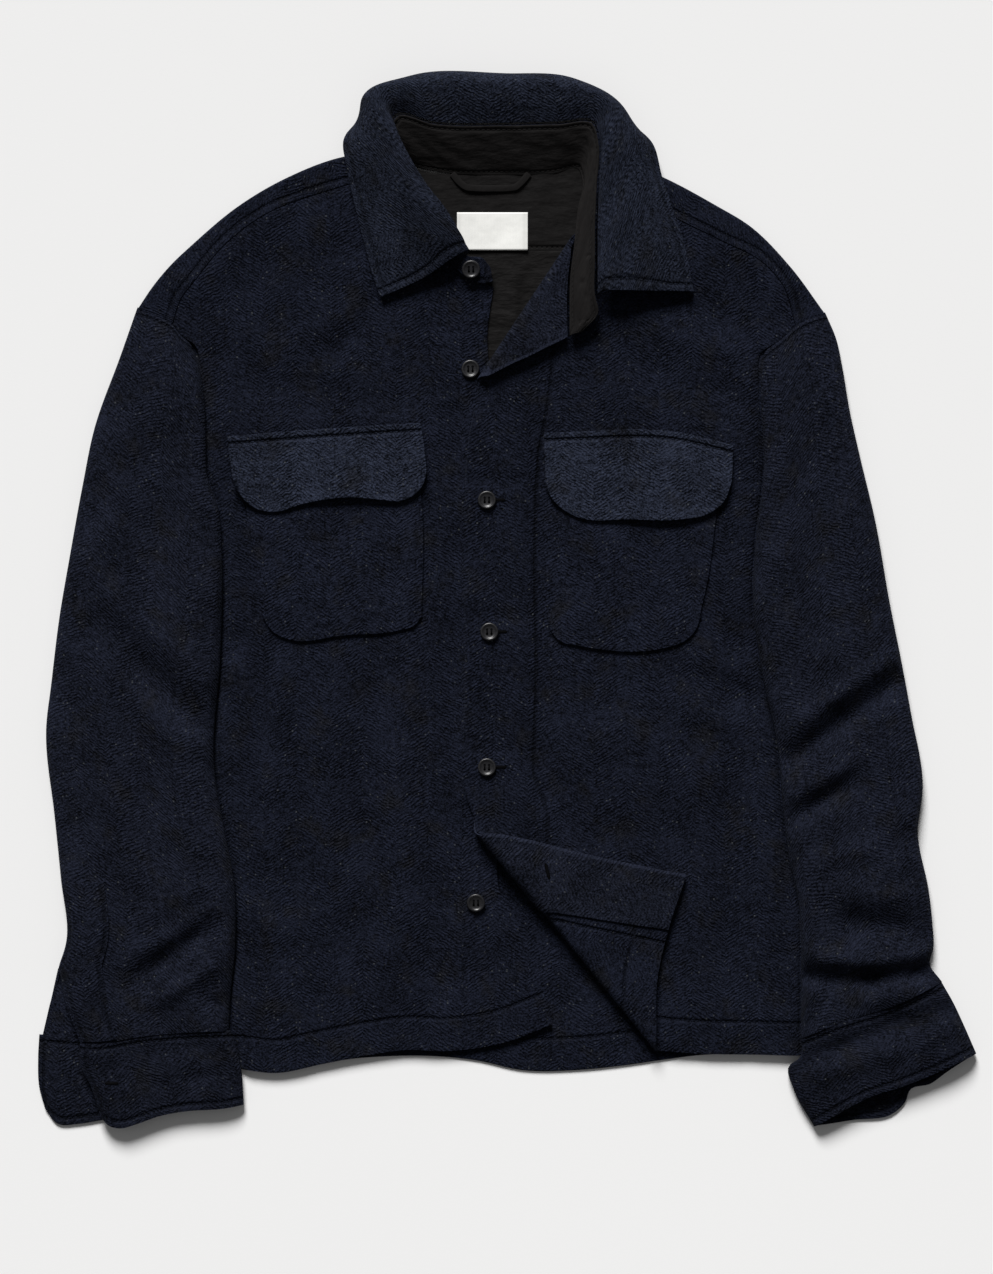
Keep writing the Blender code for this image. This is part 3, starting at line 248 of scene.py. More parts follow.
SLEEVE_HEIGHTS = ((0.0, 8.0), (0.12, 14.0), (0.35, 18.0), (0.65, 18.5), (0.88, 17.0), (1.0, 13.5))
RIGHT_SLEEVE_FOLDS = (
    (-321, 4, -317, -43, 7, 1.4),
    (-246, -265, -308, -310, 11, -3.2),
    (-262, 180, -330, 110, 16, 1.6),
    (-250, 60, -330, 70, 14, -1.4),
    (-340, -5, -312, -52, 5, 1.2),
    (-296, -50, -250, -90, 5, -1.1),
    (-262, -110, -238, -132, 5, 1.6),
    (-300, -118, -282, -150, 8, -1.2),
    (-350, -150, -318, -176, 10, 1.0),
    (-246, -180, -280, -214, 8, -1.2),
    (-250, -236, -300, -262, 7, 1.5),
    (-240, -300, -284, -330, 7, 1.4),
    (-246, -322, -236, -336, 5, -2.0),
    (-322, -250, -326, -340, 5, -1.0),
    (-300, 150, -272, 60, 12, -0.9),
    (-320, 90, -344, -10, 9, 0.9),
)
LEFT_SLEEVE_FOLDS = (
    (321, -66, 274, -96, 9, -3.6),
    (274, -96, 232, -130, 9, -3.6),
    (280, -151, 232, -180, 9, -2.8),
    (318, -191, 306, -196, 10, -2.6),
    (285, -262, 342, -277, 9, -3.0),
    (243, -308, 298, -310, 7, -5.0),
    (298, -310, 342, -303, 7, -4.6),
    (293, -328, 344, -319, 8, 2.6),
    (262, -236, 330, -240, 12, 1.8),
    (250, 90, 290, 60, 16, 1.4),
    (312, -50, 262, -84, 5, 1.3),
    (306, -92, 250, -116, 6, -1.4),
    (250, -150, 236, -160, 5, 1.2),
    (330, -176, 290, -210, 8, 1.2),
    (334, -228, 296, -240, 6, -1.6),
    (300, -286, 262, -296, 6, 1.6),
    (338, -292, 306, -326, 5, 1.4),
    (262, -322, 250, -346, 6, -1.6),
    (240, 150, 262, 90, 11, -0.9),
    (290, 60, 300, -20, 9, 0.9),
    (222, 20, 250, -60, 10, -0.8),
)

# Cuffs: the over layer shows from above and the under layer lies on the surface
RIGHT_CUFF_OVER_END = ((-350, -362.8), (-350, -380), (-341, -399), (-333, -424))
RIGHT_CUFF_UNDER_END = ((-384, -356.7), (-385, -377), (-384, -400), (-379, -418))
RIGHT_CUFF_FOLD = ((-227, -352.8), (-219, -380), (-216, -414))
RIGHT_CUFF_TOP_OVER = ((-350, -362.8), (-335, -362.8), (-305, -357.8), (-263, -353.8), (-227, -352.8))
RIGHT_CUFF_TOP_UNDER = ((-384, -356.7), (-381, -356.9), (-335, -359.9), (-263, -353.9), (-227, -352.8))
RIGHT_CUFF_LOW_OVER = ((-333, -424), (-326, -431), (-317, -433), (-305, -430), (-285, -423),
                       (-263, -419), (-233, -417), (-216, -414))
RIGHT_CUFF_LOW_UNDER = ((-379, -418), (-369, -430), (-351, -430), (-333, -427), (-285, -420), (-216, -414))
LEFT_CUFF_TOP = ((241.2, -359), (273, -346.1), (317, -332.2), (356.3, -313))
LEFT_CUFF_LEFT_FOLD = ((241.2, -359), (240.6, -375), (231, -383), (235, -401), (252, -432))
LEFT_CUFF_RIGHT_FOLD = ((356.3, -313), (366, -330), (374, -347), (385, -372))
LEFT_CUFF_LOW_OVER = ((252, -432), (261, -427), (298, -407), (326, -398), (355, -386), (385, -372))
LEFT_CUFF_LOW_UNDER = ((252, -432), (283, -427), (318, -421), (327, -412), (331, -402), (348, -397),
                       (359, -389), (385, -372))
RIGHT_CUFF_HEIGHTS = ((0.0, 12.5), (0.5, 13.0), (1.0, 12.0))
LEFT_CUFF_HEIGHTS = ((0.0, 13.0), (0.5, 15.0), (1.0, 13.0))
RIGHT_CUFF_FOLDS = ((-247, -366, -334, -385, 10, -2.2), (-300, -372, -318, -410, 6, 0.8),
                    (-260, -392, -240, -412, 7, -0.8))
LEFT_CUFF_FOLDS = ((359, -336, 321, -344, 8, -3.0), (321, -344, 245, -378, 8, -3.4),
                   (352, -352, 330, -384, 6, 0.9), (300, -360, 262, -390, 6, 1.0))

# Flattened tube section as shares across and up, from the left edge along the bottom to the right edge
# and back over the top
TUBE_SECTION = (
    (0.0, 0.36), (0.012, 0.12), (0.05, 0.0), (0.35, 0.0), (0.65, 0.0), (0.95, 0.0), (0.988, 0.12),
    (1.0, 0.36), (0.985, 0.66), (0.94, 0.88), (0.86, 0.98), (0.74, 1.0), (0.61, 0.97), (0.48, 0.95),
    (0.36, 0.97), (0.25, 1.0), (0.14, 0.97), (0.06, 0.87), (0.015, 0.66), (0.0, 0.36),
)
CUFF_SECTION = (
    (0.0, 0.36), (0.012, 0.12), (0.05, 0.0), (0.12, 0.0), (0.22, 0.0), (0.35, 0.0), (0.48, 0.0), (0.54, 0.0),
    (0.62, 0.0), (0.70, 0.0), (0.80, 0.0), (0.95, 0.0), (0.988, 0.12), (1.0, 0.36), (0.985, 0.66),
    (0.93, 0.90), (0.82, 1.0), (0.66, 0.98), (0.50, 0.96), (0.34, 0.98), (0.18, 1.0), (0.09, 0.94),
    (0.03, 0.78), (0.008, 0.60), (0.0, 0.36),
)

# Pockets: edge curves, lower edges from left to right
FLAPS = {
    "flap_right": {
        "top": ((-229, 134), (-150, 140), (-71, 145)),
        "left": ((-229, 134), (-227, 117), (-223, 100)),
        "right": ((-71, 145), (-68, 127), (-66, 106)),
        "low": ((-223, 100), (-216, 83), (-206, 75), (-193, 72), (-166, 79), (-127, 84), (-103, 82),
                (-87, 81), (-76, 86), (-68, 96), (-66, 106)),
    },
    "flap_left": {
        "top": ((30, 137), (143, 137), (185, 127)),
        "left": ((30, 137), (31, 115), (32, 95)),
        "right": ((185, 127), (185, 112), (184, 97)),
        "low": ((32, 95), (37, 83), (46, 74), (57, 68), (100, 66), (143, 66), (166, 71), (178, 81),
                (184, 97)),
    },
}
BAGS = {
    "pocket_right": {
        "top": ((-216, 128), (-76, 136)),
        "left": ((-216, 128), (-213, 69), (-206, 32), (-203, 0)),
        "right": ((-76, 136), (-69, 66), (-70, -14)),
        "low": ((-203, 0), (-199, -16), (-192, -26), (-180, -32), (-133, -29), (-89, -25), (-76, -21),
                (-70, -14)),
    },
    "pocket_left": {
        "top": ((32, 129), (176, 121)),
        "left": ((32, 129), (31, 66), (33, -10)),
        "right": ((176, 121), (171, 66), (163, 9), (159, -8)),
        "low": ((33, -10), (36, -25), (44, -34), (57, -37), (130, -39), (145, -34), (155, -24),
                (159, -8)),
    },
}
FLAP_CURL = 4.0

# Collar sections round the neck, from the right front end to the left front end: places of the
# neck seam, top of the stand, inner edge of the roll, crest, middle of the leaf and its outer edge
COLLAR = (
    ((-28, 262, 9.6), (-32, 284, 13), (-31, 287, 17), (-37, 284, 20.5), (-68, 264, 17), (-104, 248, 12)),
    ((-46, 277, 9.6), (-46, 302, 20), (-42, 307, 26), (-48, 303, 30.5), (-77, 287, 23), (-111, 270, 12)),
    ((-63, 297, 9.6), (-58, 319, 25), (-52, 322, 31), (-58, 318, 35.5), (-85, 308, 26), (-118, 296, 12)),
    ((-77, 320, 9.6), (-73, 338, 27), (-66, 340, 33), (-72, 336, 37.5), (-96, 331, 28), (-125, 325, 12.5)),
    ((-87, 343, 9.0), (-85, 359, 28), (-78, 359, 34), (-84, 356, 38.5), (-105, 355, 29), (-131, 353, 13)),
    ((-86, 358, 6.0), (-96, 386, 28), (-91, 387, 34), (-97, 388, 38.5), (-115, 384, 29), (-134, 377, 11)),
    ((-68, 354, 3.6), (-92, 396, 26), (-98, 407, 33), (-104, 414, 35.5), (-119, 410, 20), (-112, 400, 2.5)),
    ((-43, 350, 3.0), (-60, 391, 23), (-68, 412, 30.5), (-74, 423, 32), (-79, 429, 18), (-74, 420, 1.5)),
    ((-2, 349, 3.0), (-2, 390, 23), (-2, 411, 30.5), (-2, 423.5, 31.5), (-2, 431, 17), (-2, 421, 1.5)),
    ((37, 350, 3.0), (42, 391, 23), (48, 409, 30), (51, 421, 30.5), (55, 427, 17), (52, 416, 1.5)),
    ((60, 353, 4.0), (71, 391, 24), (77, 400, 27.5), (83, 405, 29), (97, 401, 18), (100, 392, 2.5)),
    ((63, 342, 7.5), (76, 374, 25), (78.5, 382, 28), (84, 384, 30.5), (103, 381, 24), (119, 375, 9)),
    ((59, 320, 11), (75, 341, 25), (77.5, 346, 28), (84, 348, 30), (106, 349, 24), (127, 347, 13)),
    ((56, 294, 14.5), (74, 308, 25), (77, 312, 28), (84, 314, 30), (109, 319, 24), (136, 320, 13)),
    ((52, 262, 16), (74, 276, 25), (77, 280, 28), (84, 281, 30), (112, 286, 23), (146, 289, 13)),
    ((51.5, 238, 16.3), (74, 250, 24), (77, 253, 27), (84, 253, 29), (113, 253, 22), (153, 253, 13)),
)
STAND_GAP = 2.4
STAND_RIGHT_END = (((-11.5, 261, 9.8), (-14, 275, 10.5)), ((-19, 259.5, 9.7), (-21, 283, 11)))
STAND_LEFT_END = (((51.5, 228, 16.4), (77, 236, 22)), ((51.5, 216, 16.5), (64, 221, 18.5)))
STAND_WRINKLE = 2.2

# Small pieces
LINING_LEVEL = WOOL + GAP + LINING
LABEL_CENTRE = (-12.0, 302.5)
LABEL_SIZE = (58.0, 31.0)
LABEL_WALL = 0.6
LABEL_LIFT = 1.3
LABEL_LEVEL = LINING_LEVEL + GAP + LABEL_LIFT + LINING
LINING_SEAM_Y = 287.0
LINING_END_Y = 180.0
YOKE_LINING_WIDTH = (-84.0, 76.0)
YOKE_LINING_NECK = ((-84, 357), (-66, 351.5), (-43, 349.3), (-2, 348.6), (24, 350), (39, 352), (58, 356),
                    (76, 360))
PLEAT_X = 5.0
PLEAT_WIDTH = 7.0
PLEAT_HEIGHT = 1.9
LOOP_PATH = ((-45, 350), (-38, 342), (-33, 338.6), (-28, 338), (-12, 337.6), (2, 338), (7, 338.8), (11, 342),
             (18, 350))
LOOP_WIDTH = 5.5
LOOP_LIFT = 0.8
LOOP_LEVEL = LINING_LEVEL + GAP + LOOP_LIFT + TAPE

# Buttons: x, y and tilt in degrees. Two lie on the under front and the first on the stand
BUTTONS = {
    "button_1": (-29.5, 271, 9),
    "button_2": (-30, 189.5, 0),
    "button_3": (-16.5, 82, 0),
    "button_4": (-14.5, -26, 0),
    "button_5": (-16.5, -137, 0),
    "button_6": (-25.5, -248, 7),
}
UNDER_BUTTONS = ("button_2", "button_6")
STAND_BUTTON_LEVEL = 12.6
TILT_ROOM = 1.0

# Buttonholes: x, y, turn in degrees and length
BUTTONHOLES = ((-6.5, 82, 0, 9), (-5, -26, 0, 9), (-6, -137, 0, 9), (33, -222, 104, 12), (-324, -396, 0, 10))
STITCHES = 34

# Creases that bend: half width, height and the points that each passes through
BODY_DRAPE = (
    (9, -1.6, ((-119, -80), (-116, -150), (-119, -215))),
    (15, 2.2, ((-152, -60), (-147, -150), (-152, -250))),
    (12, 1.9, ((-88, -95), (-84, -200), (-86, -310))),
    (8, -1.5, ((-56, -240), (-58, -290), (-66, -345))),
    (9, 1.6, ((-34, -225), (-36, -280), (-44, -345))),
    (8, -1.4, ((-196, -40), (-203, -150), (-196, -270))),
    (9, -1.5, ((-206, 182), (-176, 172), (-140, 170))),
    (10, 1.6, ((-225, 150), (-190, 142), (-120, 150), (-60, 138))),
    (8, -1.3, ((-90, 262), (-128, 214), (-150, 190))),
    (9, 1.4, ((-110, 268), (-150, 222), (-186, 205))),
    (6, -2.4, ((-44, 168), (-42, 120), (-43, 60), (-42, -30), (-43, -150), (-30, -205))),
    (11, 1.5, ((-72, 110), (-80, 0), (-76, -90))),
    (9, 1.7, ((48, 158), (54, 60), (52, -60), (60, -170))),
    (4, -1.4, ((25, 160), (27, 40), (27, -80), (28, -185))),
    (9, -1.6, ((210, -82), (180, -74), (145, -66))),
    (9, 1.6, ((208, -108), (170, -100), (130, -84))),
    (12, 1.6, ((100, -150), (140, -250), (150, -345))),
    (9, -1.4, ((80, -140), (112, -210), (124, -260))),
    (10, -1.4, ((190, -140), (186, -250), (192, -340))),
    (10, 1.5, ((96, 232), (150, 212), (196, 196))),
    (9, -1.4, ((120, 250), (170, 236), (205, 214))),
    (7, -1.4, ((140, 176), (182, 168), (206, 150))),
)
OVER_DRAPE = (
    (9, 2.8, ((-36, -150), (-35, -90), (-36, -50), (-35, 52), (-32, 131), (-27, 165))),
    (6, -1.2, ((-33, 100), (4, 97), (22, 99))),
    (6, -1.2, ((-33, -12), (2, -15), (24, -13))),
    (6, -1.0, ((-33, -124), (2, -122), (20, -126))),
)
RIGHT_SLEEVE_DRAPE = (
    (9, -5.5, ((-326, -14), (-300, -52), (-268, -86), (-240, -116))),
    (10, 4.0, ((-312, -4), (-280, -34), (-256, -58), (-236, -84))),
    (9, 3.0, ((-336, -40), (-312, -76), (-280, -108), (-252, -138))),
    (6, -3.0, ((-262, -122), (-248, -136), (-236, -150))),
    (8, -4.0, ((-240, -268), (-272, -290), (-310, -316))),
    (8, 3.4, ((-234, -250), (-266, -270), (-304, -294))),
    (6, 3.0, ((-232, -294), (-268, -317), (-300, -336))),
    (4, -3.0, ((-228, -329), (-248, -331))),
    (14, 2.0, ((-348, -120), (-338, -200), (-328, -260))),
    (9, -2.0, ((-300, -150), (-292, -230))),
    (10, 1.8, ((-264, -165), (-254, -235))),
    (12, 1.8, ((-310, 130), (-322, 60), (-330, 20))),
    (10, -1.8, ((-285, 150), (-282, 80), (-290, 10))),
)
LEFT_SLEEVE_DRAPE = (
    (8, -3.6, ((324, -66), (281, -97), (228, -138))),
    (8, 3.8, ((332, -38), (284, -68), (228, -110))),
    (7, -3.4, ((282, -150), (232, -181))),
    (7, 3.4, ((294, -126), (238, -160))),
    (8, 2.0, ((330, -180), (290, -205), (246, -215))),
    (9, -3.4, ((270, -272), (306, -268), (344, -266))),
    (9, 3.0, ((262, -246), (300, -242), (340, -242))),
    (6, 4.0, ((236, -287), (290, -297), (354, -284))),
    (6, -2.6, ((236, -307), (281, -315), (344, -304))),
    (9, 1.8, ((300, -200), (312, -240))),
    (12, 1.8, ((266, 150), (276, 80), (284, 10))),
    (10, -1.8, ((240, 130), (246, 60), (250, 0))),
)
RIGHT_CUFF_DRAPE = (
    (6, 1.6, ((-345, -372), (-300, -378), (-250, -372))),
    (6, -1.6, ((-330, -392), (-290, -396), (-236, -388))),
)
LEFT_CUFF_DRAPE = (
    (7, -2.4, ((362, -338), (300, -360), (246, -378))),
    (6, 1.8, ((368, -352), (310, -374), (258, -392))),
)

# How far the over front's edge is drawn aside at each height, where the corner begins to turn
EDGE_PULL = ((-364, -3.0), (-293, 1.0), (-227, 3.5), (-207, 5.0), (-192, 8.5), (-181, 8.5), (-171, 5.0),
             (-160, 1.5), (-148, 0.0))
EDGE_PULL_WIDTH = 70.0


def fine_line(points, steps=LINE_STEPS):
    """Closely spaced points on a smooth curve through the given points."""
    knots = np.array(points, float)
    if len(knots) == 2:
        return knots
    chord = np.linalg.norm(np.diff(knots, axis=0), axis=1)
    slope = np.diff(knots, axis=0) / chord[:, None]
    tangent = np.empty_like(knots)
    tangent[0] = slope[0]
    tangent[-1] = slope[-1]
    share = (chord[:-1] / (chord[:-1] + chord[1:]))[:, None]
    tangent[1:-1] = slope[:-1] * (1 - share) + slope[1:] * share
    pieces = []
    for index, length in enumerate(chord):
        t = (np.arange(steps) / steps)[:, None]
        start = knots[index] * (2 * t**3 - 3 * t**2 + 1) + knots[index + 1] * (3 * t**2 - 2 * t**3)
        bend = tangent[index] * (t**3 - 2 * t**2 + t) + tangent[index + 1] * (t**3 - t**2)
        pieces.append(start + bend * length)
    pieces.append(knots[-1:])
    return np.vstack(pieces)


def run_along(line):
    """Length of a fine line up to each of its points."""
    return np.concatenate([[0.0], np.cumsum(np.linalg.norm(np.diff(line, axis=0), axis=1))])


def along(line, fractions):
    """Points of a fine line at fractions of its length."""
    run = run_along(line)
    wanted = np.clip(np.asarray(fractions, float), 0, 1) * run[-1]
    return np.stack([np.interp(wanted, run, line[:, axis]) for axis in range(line.shape[1])], axis=-1)


def patch(low, top, left, right, across, up):
    """Points between four edge curves: low and top run left to right, left and right run low to top."""
    across, up = np.broadcast_arrays(np.asarray(across, float), np.asarray(up, float))
    low_at = along(low, across)
    top_at = along(top, across)
    left_at = along(left, up)
    right_at = along(right, up)
    u = across[..., None]
    v = up[..., None]
    corners = ((1 - u) * (1 - v) * low[0] + u * (1 - v) * low[-1] + (1 - u) * v * top[0] + u * v * top[-1])
    return (1 - v) * low_at + v * top_at + (1 - u) * left_at + u * right_at - corners


def ease(value):
    """Smooth step from 0 to 1."""
    value = np.clip(value, 0, 1)
    return value * value * (3 - 2 * value)


def line_distance(x, y, line):
    """Shortest plan distance from each point to a polyline."""
    best = np.full(np.shape(x), 1e9)
    for start, end in zip(line[:-1], line[1:]):
        run = end - start
        share = np.clip(((x - start[0]) * run[0] + (y - start[1]) * run[1]) / max(run @ run, 1e-9), 0, 1)
        gap = np.hypot(x - start[0] - share * run[0], y - start[1] - share * run[1])
        best = np.minimum(best, gap)
    return best


def relief(x, y, folds):
    """Height that the soft ridges and troughs add at each plan point."""
    total = np.zeros(np.shape(x))
    for row in folds:
        fold = dict(zip(FOLD_COLUMNS, row))
        ends = np.array(((fold["x0"], fold["y0"]), (fold["x1"], fold["y1"])), float)
        total = total + fold["height"] * np.exp(-(line_distance(x, y, ends) / fold["width"]) ** 2)
    return total


def over_level(x, y):
    """Height of the outer face of the left front, which rises over the right one."""
    near = ease((OVERLAP_NONE_X - x) / (OVERLAP_NONE_X - OVERLAP_FULL_X))
    along_edge = ease((y - OVERLAP_END_Y) / OVERLAP_FADE)
    return body_level(x, y) + (OVERLAP_RAISE * near + drape(x, y, OVER_DRAPE)) * along_edge


def rolled_side(x, y, level, side):
    """Bring the outer face down to the back panel at the side fold."""
    inward = np.clip(line_distance(x, y, side) / SIDE_ROLL, 0, 1)
    return SIDE_FLOOR + (level - SIDE_FLOOR) * np.sqrt(1 - (1 - inward) ** 2)


def turn_frame(turn):
    """A turn by its column names, with its length and its direction past the fold."""
    row = dict(zip(TURN_COLUMNS, turn))
    (x0, y0), (x1, y1) = row["start"], row["end"]
    row["length"] = math.hypot(x1 - x0, y1 - y0)
    row["normal"] = ((y1 - y0) / row["length"], -(x1 - x0) / row["length"])
    return row


def turn_over(x, y, turn):
    """Plan place and lift of flat points once the corner beyond a fold line is turned over."""
    row = turn_frame(turn)
    (x0, y0), (x1, y1) = row["start"], row["end"]
    share = np.clip(((x - x0) * (x1 - x0) + (y - y0) * (y1 - y0)) / row["length"] ** 2, 0, 1)
    radius = row["start_radius"] * (1 - share) + row["end_radius"] * share
    beyond = (x - x0) * row["normal"][0] + (y - y0) * row["normal"][1] + radius + WOOL
    angle = np.clip(beyond / radius, 0, math.pi)
    past = beyond - math.pi * radius
    out = np.where(past < 0, radius * np.sin(angle), -past)
    shift = np.where(beyond > 0, out - beyond, 0)
    lift = radius * (1 - np.cos(angle))
    lift = lift - (2 * radius - row["settled_lift"]) * ease(past / SETTLE_RUN)
    return x + row["normal"][0] * shift, y + row["normal"][1] * shift, lift


def left_front_point(x, y):
    """Place of a flat point of the left front as the garment lies."""
    side = fine_line(LEFT_SIDE)[:SIDE_END * LINE_STEPS + 1]
    new_x, new_y, lift = turn_over(x, y, LAPEL_TURN)
    new_x, new_y, corner_lift = turn_over(new_x, new_y, CORNER_TURN)
    level = rolled_side(new_x, new_y, over_level(new_x, new_y), side)
    return new_x, new_y, level + lift + corner_lift


def wander(x, y, size, seed):
    """Smooth uneven swell between -1 and 1 whose bumps are about size apart."""
    x = np.asarray(x, float) / size
    y = np.asarray(y, float) / size
    column, row = np.floor(x), np.floor(y)
    across, up = ease(x - column), ease(y - row)
    by_column, by_row, by_seed, spread_out = SCATTER

    def corner(i, j):
        value = np.sin((column + i) * by_column + (row + j) * by_row + seed * by_seed) * spread_out
        return (value - np.floor(value)) * 2 - 1

    low = corner(0, 0) * (1 - across) + corner(1, 0) * across
    high = corner(0, 1) * (1 - across) + corner(1, 1) * across
    return low * (1 - up) + high * up


def slack(x, y, seed=0):
    """The gentle unevenness of thick cloth that lies loose."""
    return (0.55 * wander(x, y, 61, seed + 1) + 0.35 * wander(x + y * 0.4, y, 27, seed + 2)
            + 0.13 * wander(x, y, 11, seed + 3))


def drape(x, y, rows):
    """Height added by creases that run through several points each, fading out at both ends."""
    total = np.zeros(np.shape(x))
    for width, height, points in rows:
        line = fine_line(points, 5)
        ends = np.minimum(np.hypot(x - line[0][0], y - line[0][1]), np.hypot(x - line[-1][0], y - line[-1][1]))
        fade = 0.35 + 0.65 * ease(ends / (2.5 * width))
        total = total + height * fade * np.exp(-(line_distance(x, y, line) / width) ** 2)
    return total


def body_level(x, y):
    """Height of the outer face of the fronts and the front of the yoke."""
    level = FRONT_LEVEL + relief(x, y, BODY_FOLDS) + drape(x, y, BODY_DRAPE)
    return np.maximum(level + slack(x, y), LOWEST_FRONT + 0.2 * (level - LOWEST_FRONT))


def drawn_aside(x, y):
    """Flat points of the over front, moved where its edge is drawn towards the corner's turn."""
    edge = fine_line(LEFT_FRONT_EDGE)
    pull = fine_line(EDGE_PULL)
    near = np.exp(-((x - np.interp(y, edge[:, 1], edge[:, 0])) / EDGE_PULL_WIDTH) ** 2)
    return x + np.interp(y, pull[:, 0], pull[:, 1]) * near


def body_grid(low, top_points, left, right, across, up):
    """Grid of a front panel whose top edge is already sampled at the across fractions."""
    u = across[None, :, None]
    v = up[:, None, None]
    low_at = along(low, across)[None]
    left_at = along(left, up)[:, None] + v * (top_points[0] - left[-1])
    right_at = along(right, up)[:, None] + v * (top_points[-1] - right[-1])
    top_at = top_points[None]
    corners = ((1 - u) * (1 - v) * low[0] + u * (1 - v) * low[-1]
               + (1 - u) * v * top_points[0] + u * v * top_points[-1])
    return (1 - v) * low_at + v * top_at + (1 - u) * left_at + u * right_at - corners


def joined_curve(first, second, split, fractions):
    """Points along two curves that meet in a corner, which falls at the fraction split."""
    fractions = np.asarray(fractions, float)
    low = along(first, np.clip(fractions / split, 0, 1))
    high = along(second, np.clip((fractions - split) / (1 - split), 0, 1))
    return np.where((fractions <= split)[:, None], low, high)


def set_back(line, distance):
    """Points of a line moved to its lower side."""
    run = np.gradient(line, axis=0)
    run = run / np.linalg.norm(run, axis=1)[:, None]
    return line + np.column_stack([run[:, 1], -run[:, 0]]) * distance


def even(start, end, step):
    """Values from start to end, about a step apart."""
    return np.linspace(start, end, max(2, round(abs(end - start) / step) + 1))


def shares_through(stops, count):
    """Fractions that pass exactly through the stops, about count in all."""
    pieces = [np.linspace(a, b, max(1, round((b - a) * count)) + 1)[:-1] for a, b in zip(stops[:-1], stops[1:])]
    return np.concatenate(pieces + [stops[-1:]])


def rows_to_corner(side, corner, step):
    """Row shares of a front, one of them at the corner where the armhole begins."""
    whole = fine_line(side)
    run = run_along(whole)
    nearest = np.argmin(np.linalg.norm(whole - np.array(side[corner], float), axis=1))
    return shares_through((0.0, run[nearest] / run[-1], 1.0), run[-1] / step)


def unrolled(points, middle_column):
    """Flat pattern places of a grid: width from a middle column and length from its first row."""
    over = np.linalg.norm(np.diff(points, axis=1), axis=2)
    width = np.concatenate([np.zeros((len(points), 1)), np.cumsum(over, axis=1)], axis=1)
    width = width - width[:, middle_column:middle_column + 1]
    up = np.linalg.norm(np.diff(points, axis=0), axis=2)
    length = np.concatenate([np.zeros((1, points.shape[1])), np.cumsum(up, axis=0)])
    return np.stack([width, length], axis=-1)


def grid_edges(flat):
    """Edge lines of a flat grid: left, right, low and top."""
    return {"left": flat[:, 0], "right": flat[:, -1], "low": flat[0], "top": flat[-1]}


def lay_grid(mesh, points, flat):
    """Add a grid whose vertices take the given places, rows first, with its flat pattern places."""
    rows, columns = points.shape[:2]
    for name in ("flat_x", "flat_y"):
        if not mesh.verts.layers.float.get(name):
            mesh.verts.layers.float.new(name)
    across, up = mesh.verts.layers.float["flat_x"], mesh.verts.layers.float["flat_y"]
    made = bmesh.ops.create_grid(mesh, x_segments=columns - 1, y_segments=rows - 1, size=1.0)
    for vert in made["verts"]:
        column = round((vert.co.x + 1) / 2 * (columns - 1))
        row = round((vert.co.y + 1) / 2 * (rows - 1))
        vert.co = points[row, column]
        vert[across], vert[up] = flat[row, column]


def grid_mesh(points, flat):
    """A new mesh with one grid laid in it."""
    mesh = bmesh.new()
    lay_grid(mesh, points, flat)
    return mesh


def at_level(plan, level):
    """Plan points with their heights."""
    return np.dstack([plan, np.broadcast_to(level, plan.shape[:2])])


def mark_cloth(mesh, edges):
    """Write the flat pattern and the distances to its edges as UV maps, in metres."""
    mesh.verts.ensure_lookup_table()
    across, up = mesh.verts.layers.float["flat_x"], mesh.verts.layers.float["flat_y"]
    x = np.array([vert[across] for vert in mesh.verts])
    y = np.array([vert[up] for vert in mesh.verts])
    gaps = {name: np.full(len(x), NO_EDGE) if line is None else line_distance(x, y, np.asarray(line))
            for name, line in edges.items()}
    values = {"cloth": (x, y), "sides": (gaps["left"], gaps["right"]), "ends": (gaps["low"], gaps["top"])}
    layers = [(mesh.loops.layers.uv.new(name), np.column_stack(pair) * MM) for name, pair in values.items()]
    mesh.verts.index_update()
    for face in mesh.faces:
        for loop in face.loops:
            for layer, pair in layers:
                loop[layer].uv = pair[loop.vert.index]
    for name in ("flat_x", "flat_y"):
        mesh.verts.layers.float.remove(mesh.verts.layers.float[name])


def shift_along_normals(mesh, distances):
    """Move each vertex out along its normal, by one distance or by its own."""
    mesh.normal_update()
    if not isinstance(distances, list):
        distances = [distances] * len(mesh.verts)
    places = [vert.co + vert.normal * distance for vert, distance in zip(mesh.verts, distances)]
    for vert, place in zip(mesh.verts, places):
        vert.co = place


def linked(name, mesh):
    """An object of a mesh, which is freed."""
    data = bpy.data.meshes.new(name)
    mesh.to_mesh(data)
    mesh.free()
    item = bpy.data.objects.new(name, data)
    bpy.context.scene.collection.objects.link(item)
    return item


def finished(name, mesh, finish, node):
    """Make a mesh in millimetres a piece of the jacket that stands for its node."""
    for vert in mesh.verts:
        vert.co *= MM
    piece = linked(name, mesh)
    piece.data.shade_smooth()
    piece.data.materials.append(finish)
    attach(piece, "root")
    if node:
        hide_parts(node)
    return piece


def grow_wall(piece, wall, offset):
    """Grow the cloth's thickness from the drawn face and soften its cut edges."""
    solidify = piece.modifiers.new("Wall", "SOLIDIFY")
    solidify.thickness = wall * MM
    solidify.offset = offset
    solidify.use_quality_normals = True
    if wall >= THINNEST_SOFTENED:
        soften = piece.modifiers.new("Soft edges", "BEVEL")
        soften.width = wall * SOFT_EDGE * MM
        soften.segments = 3
        soften.limit_method = "ANGLE"
        soften.angle_limit = math.radians(55)


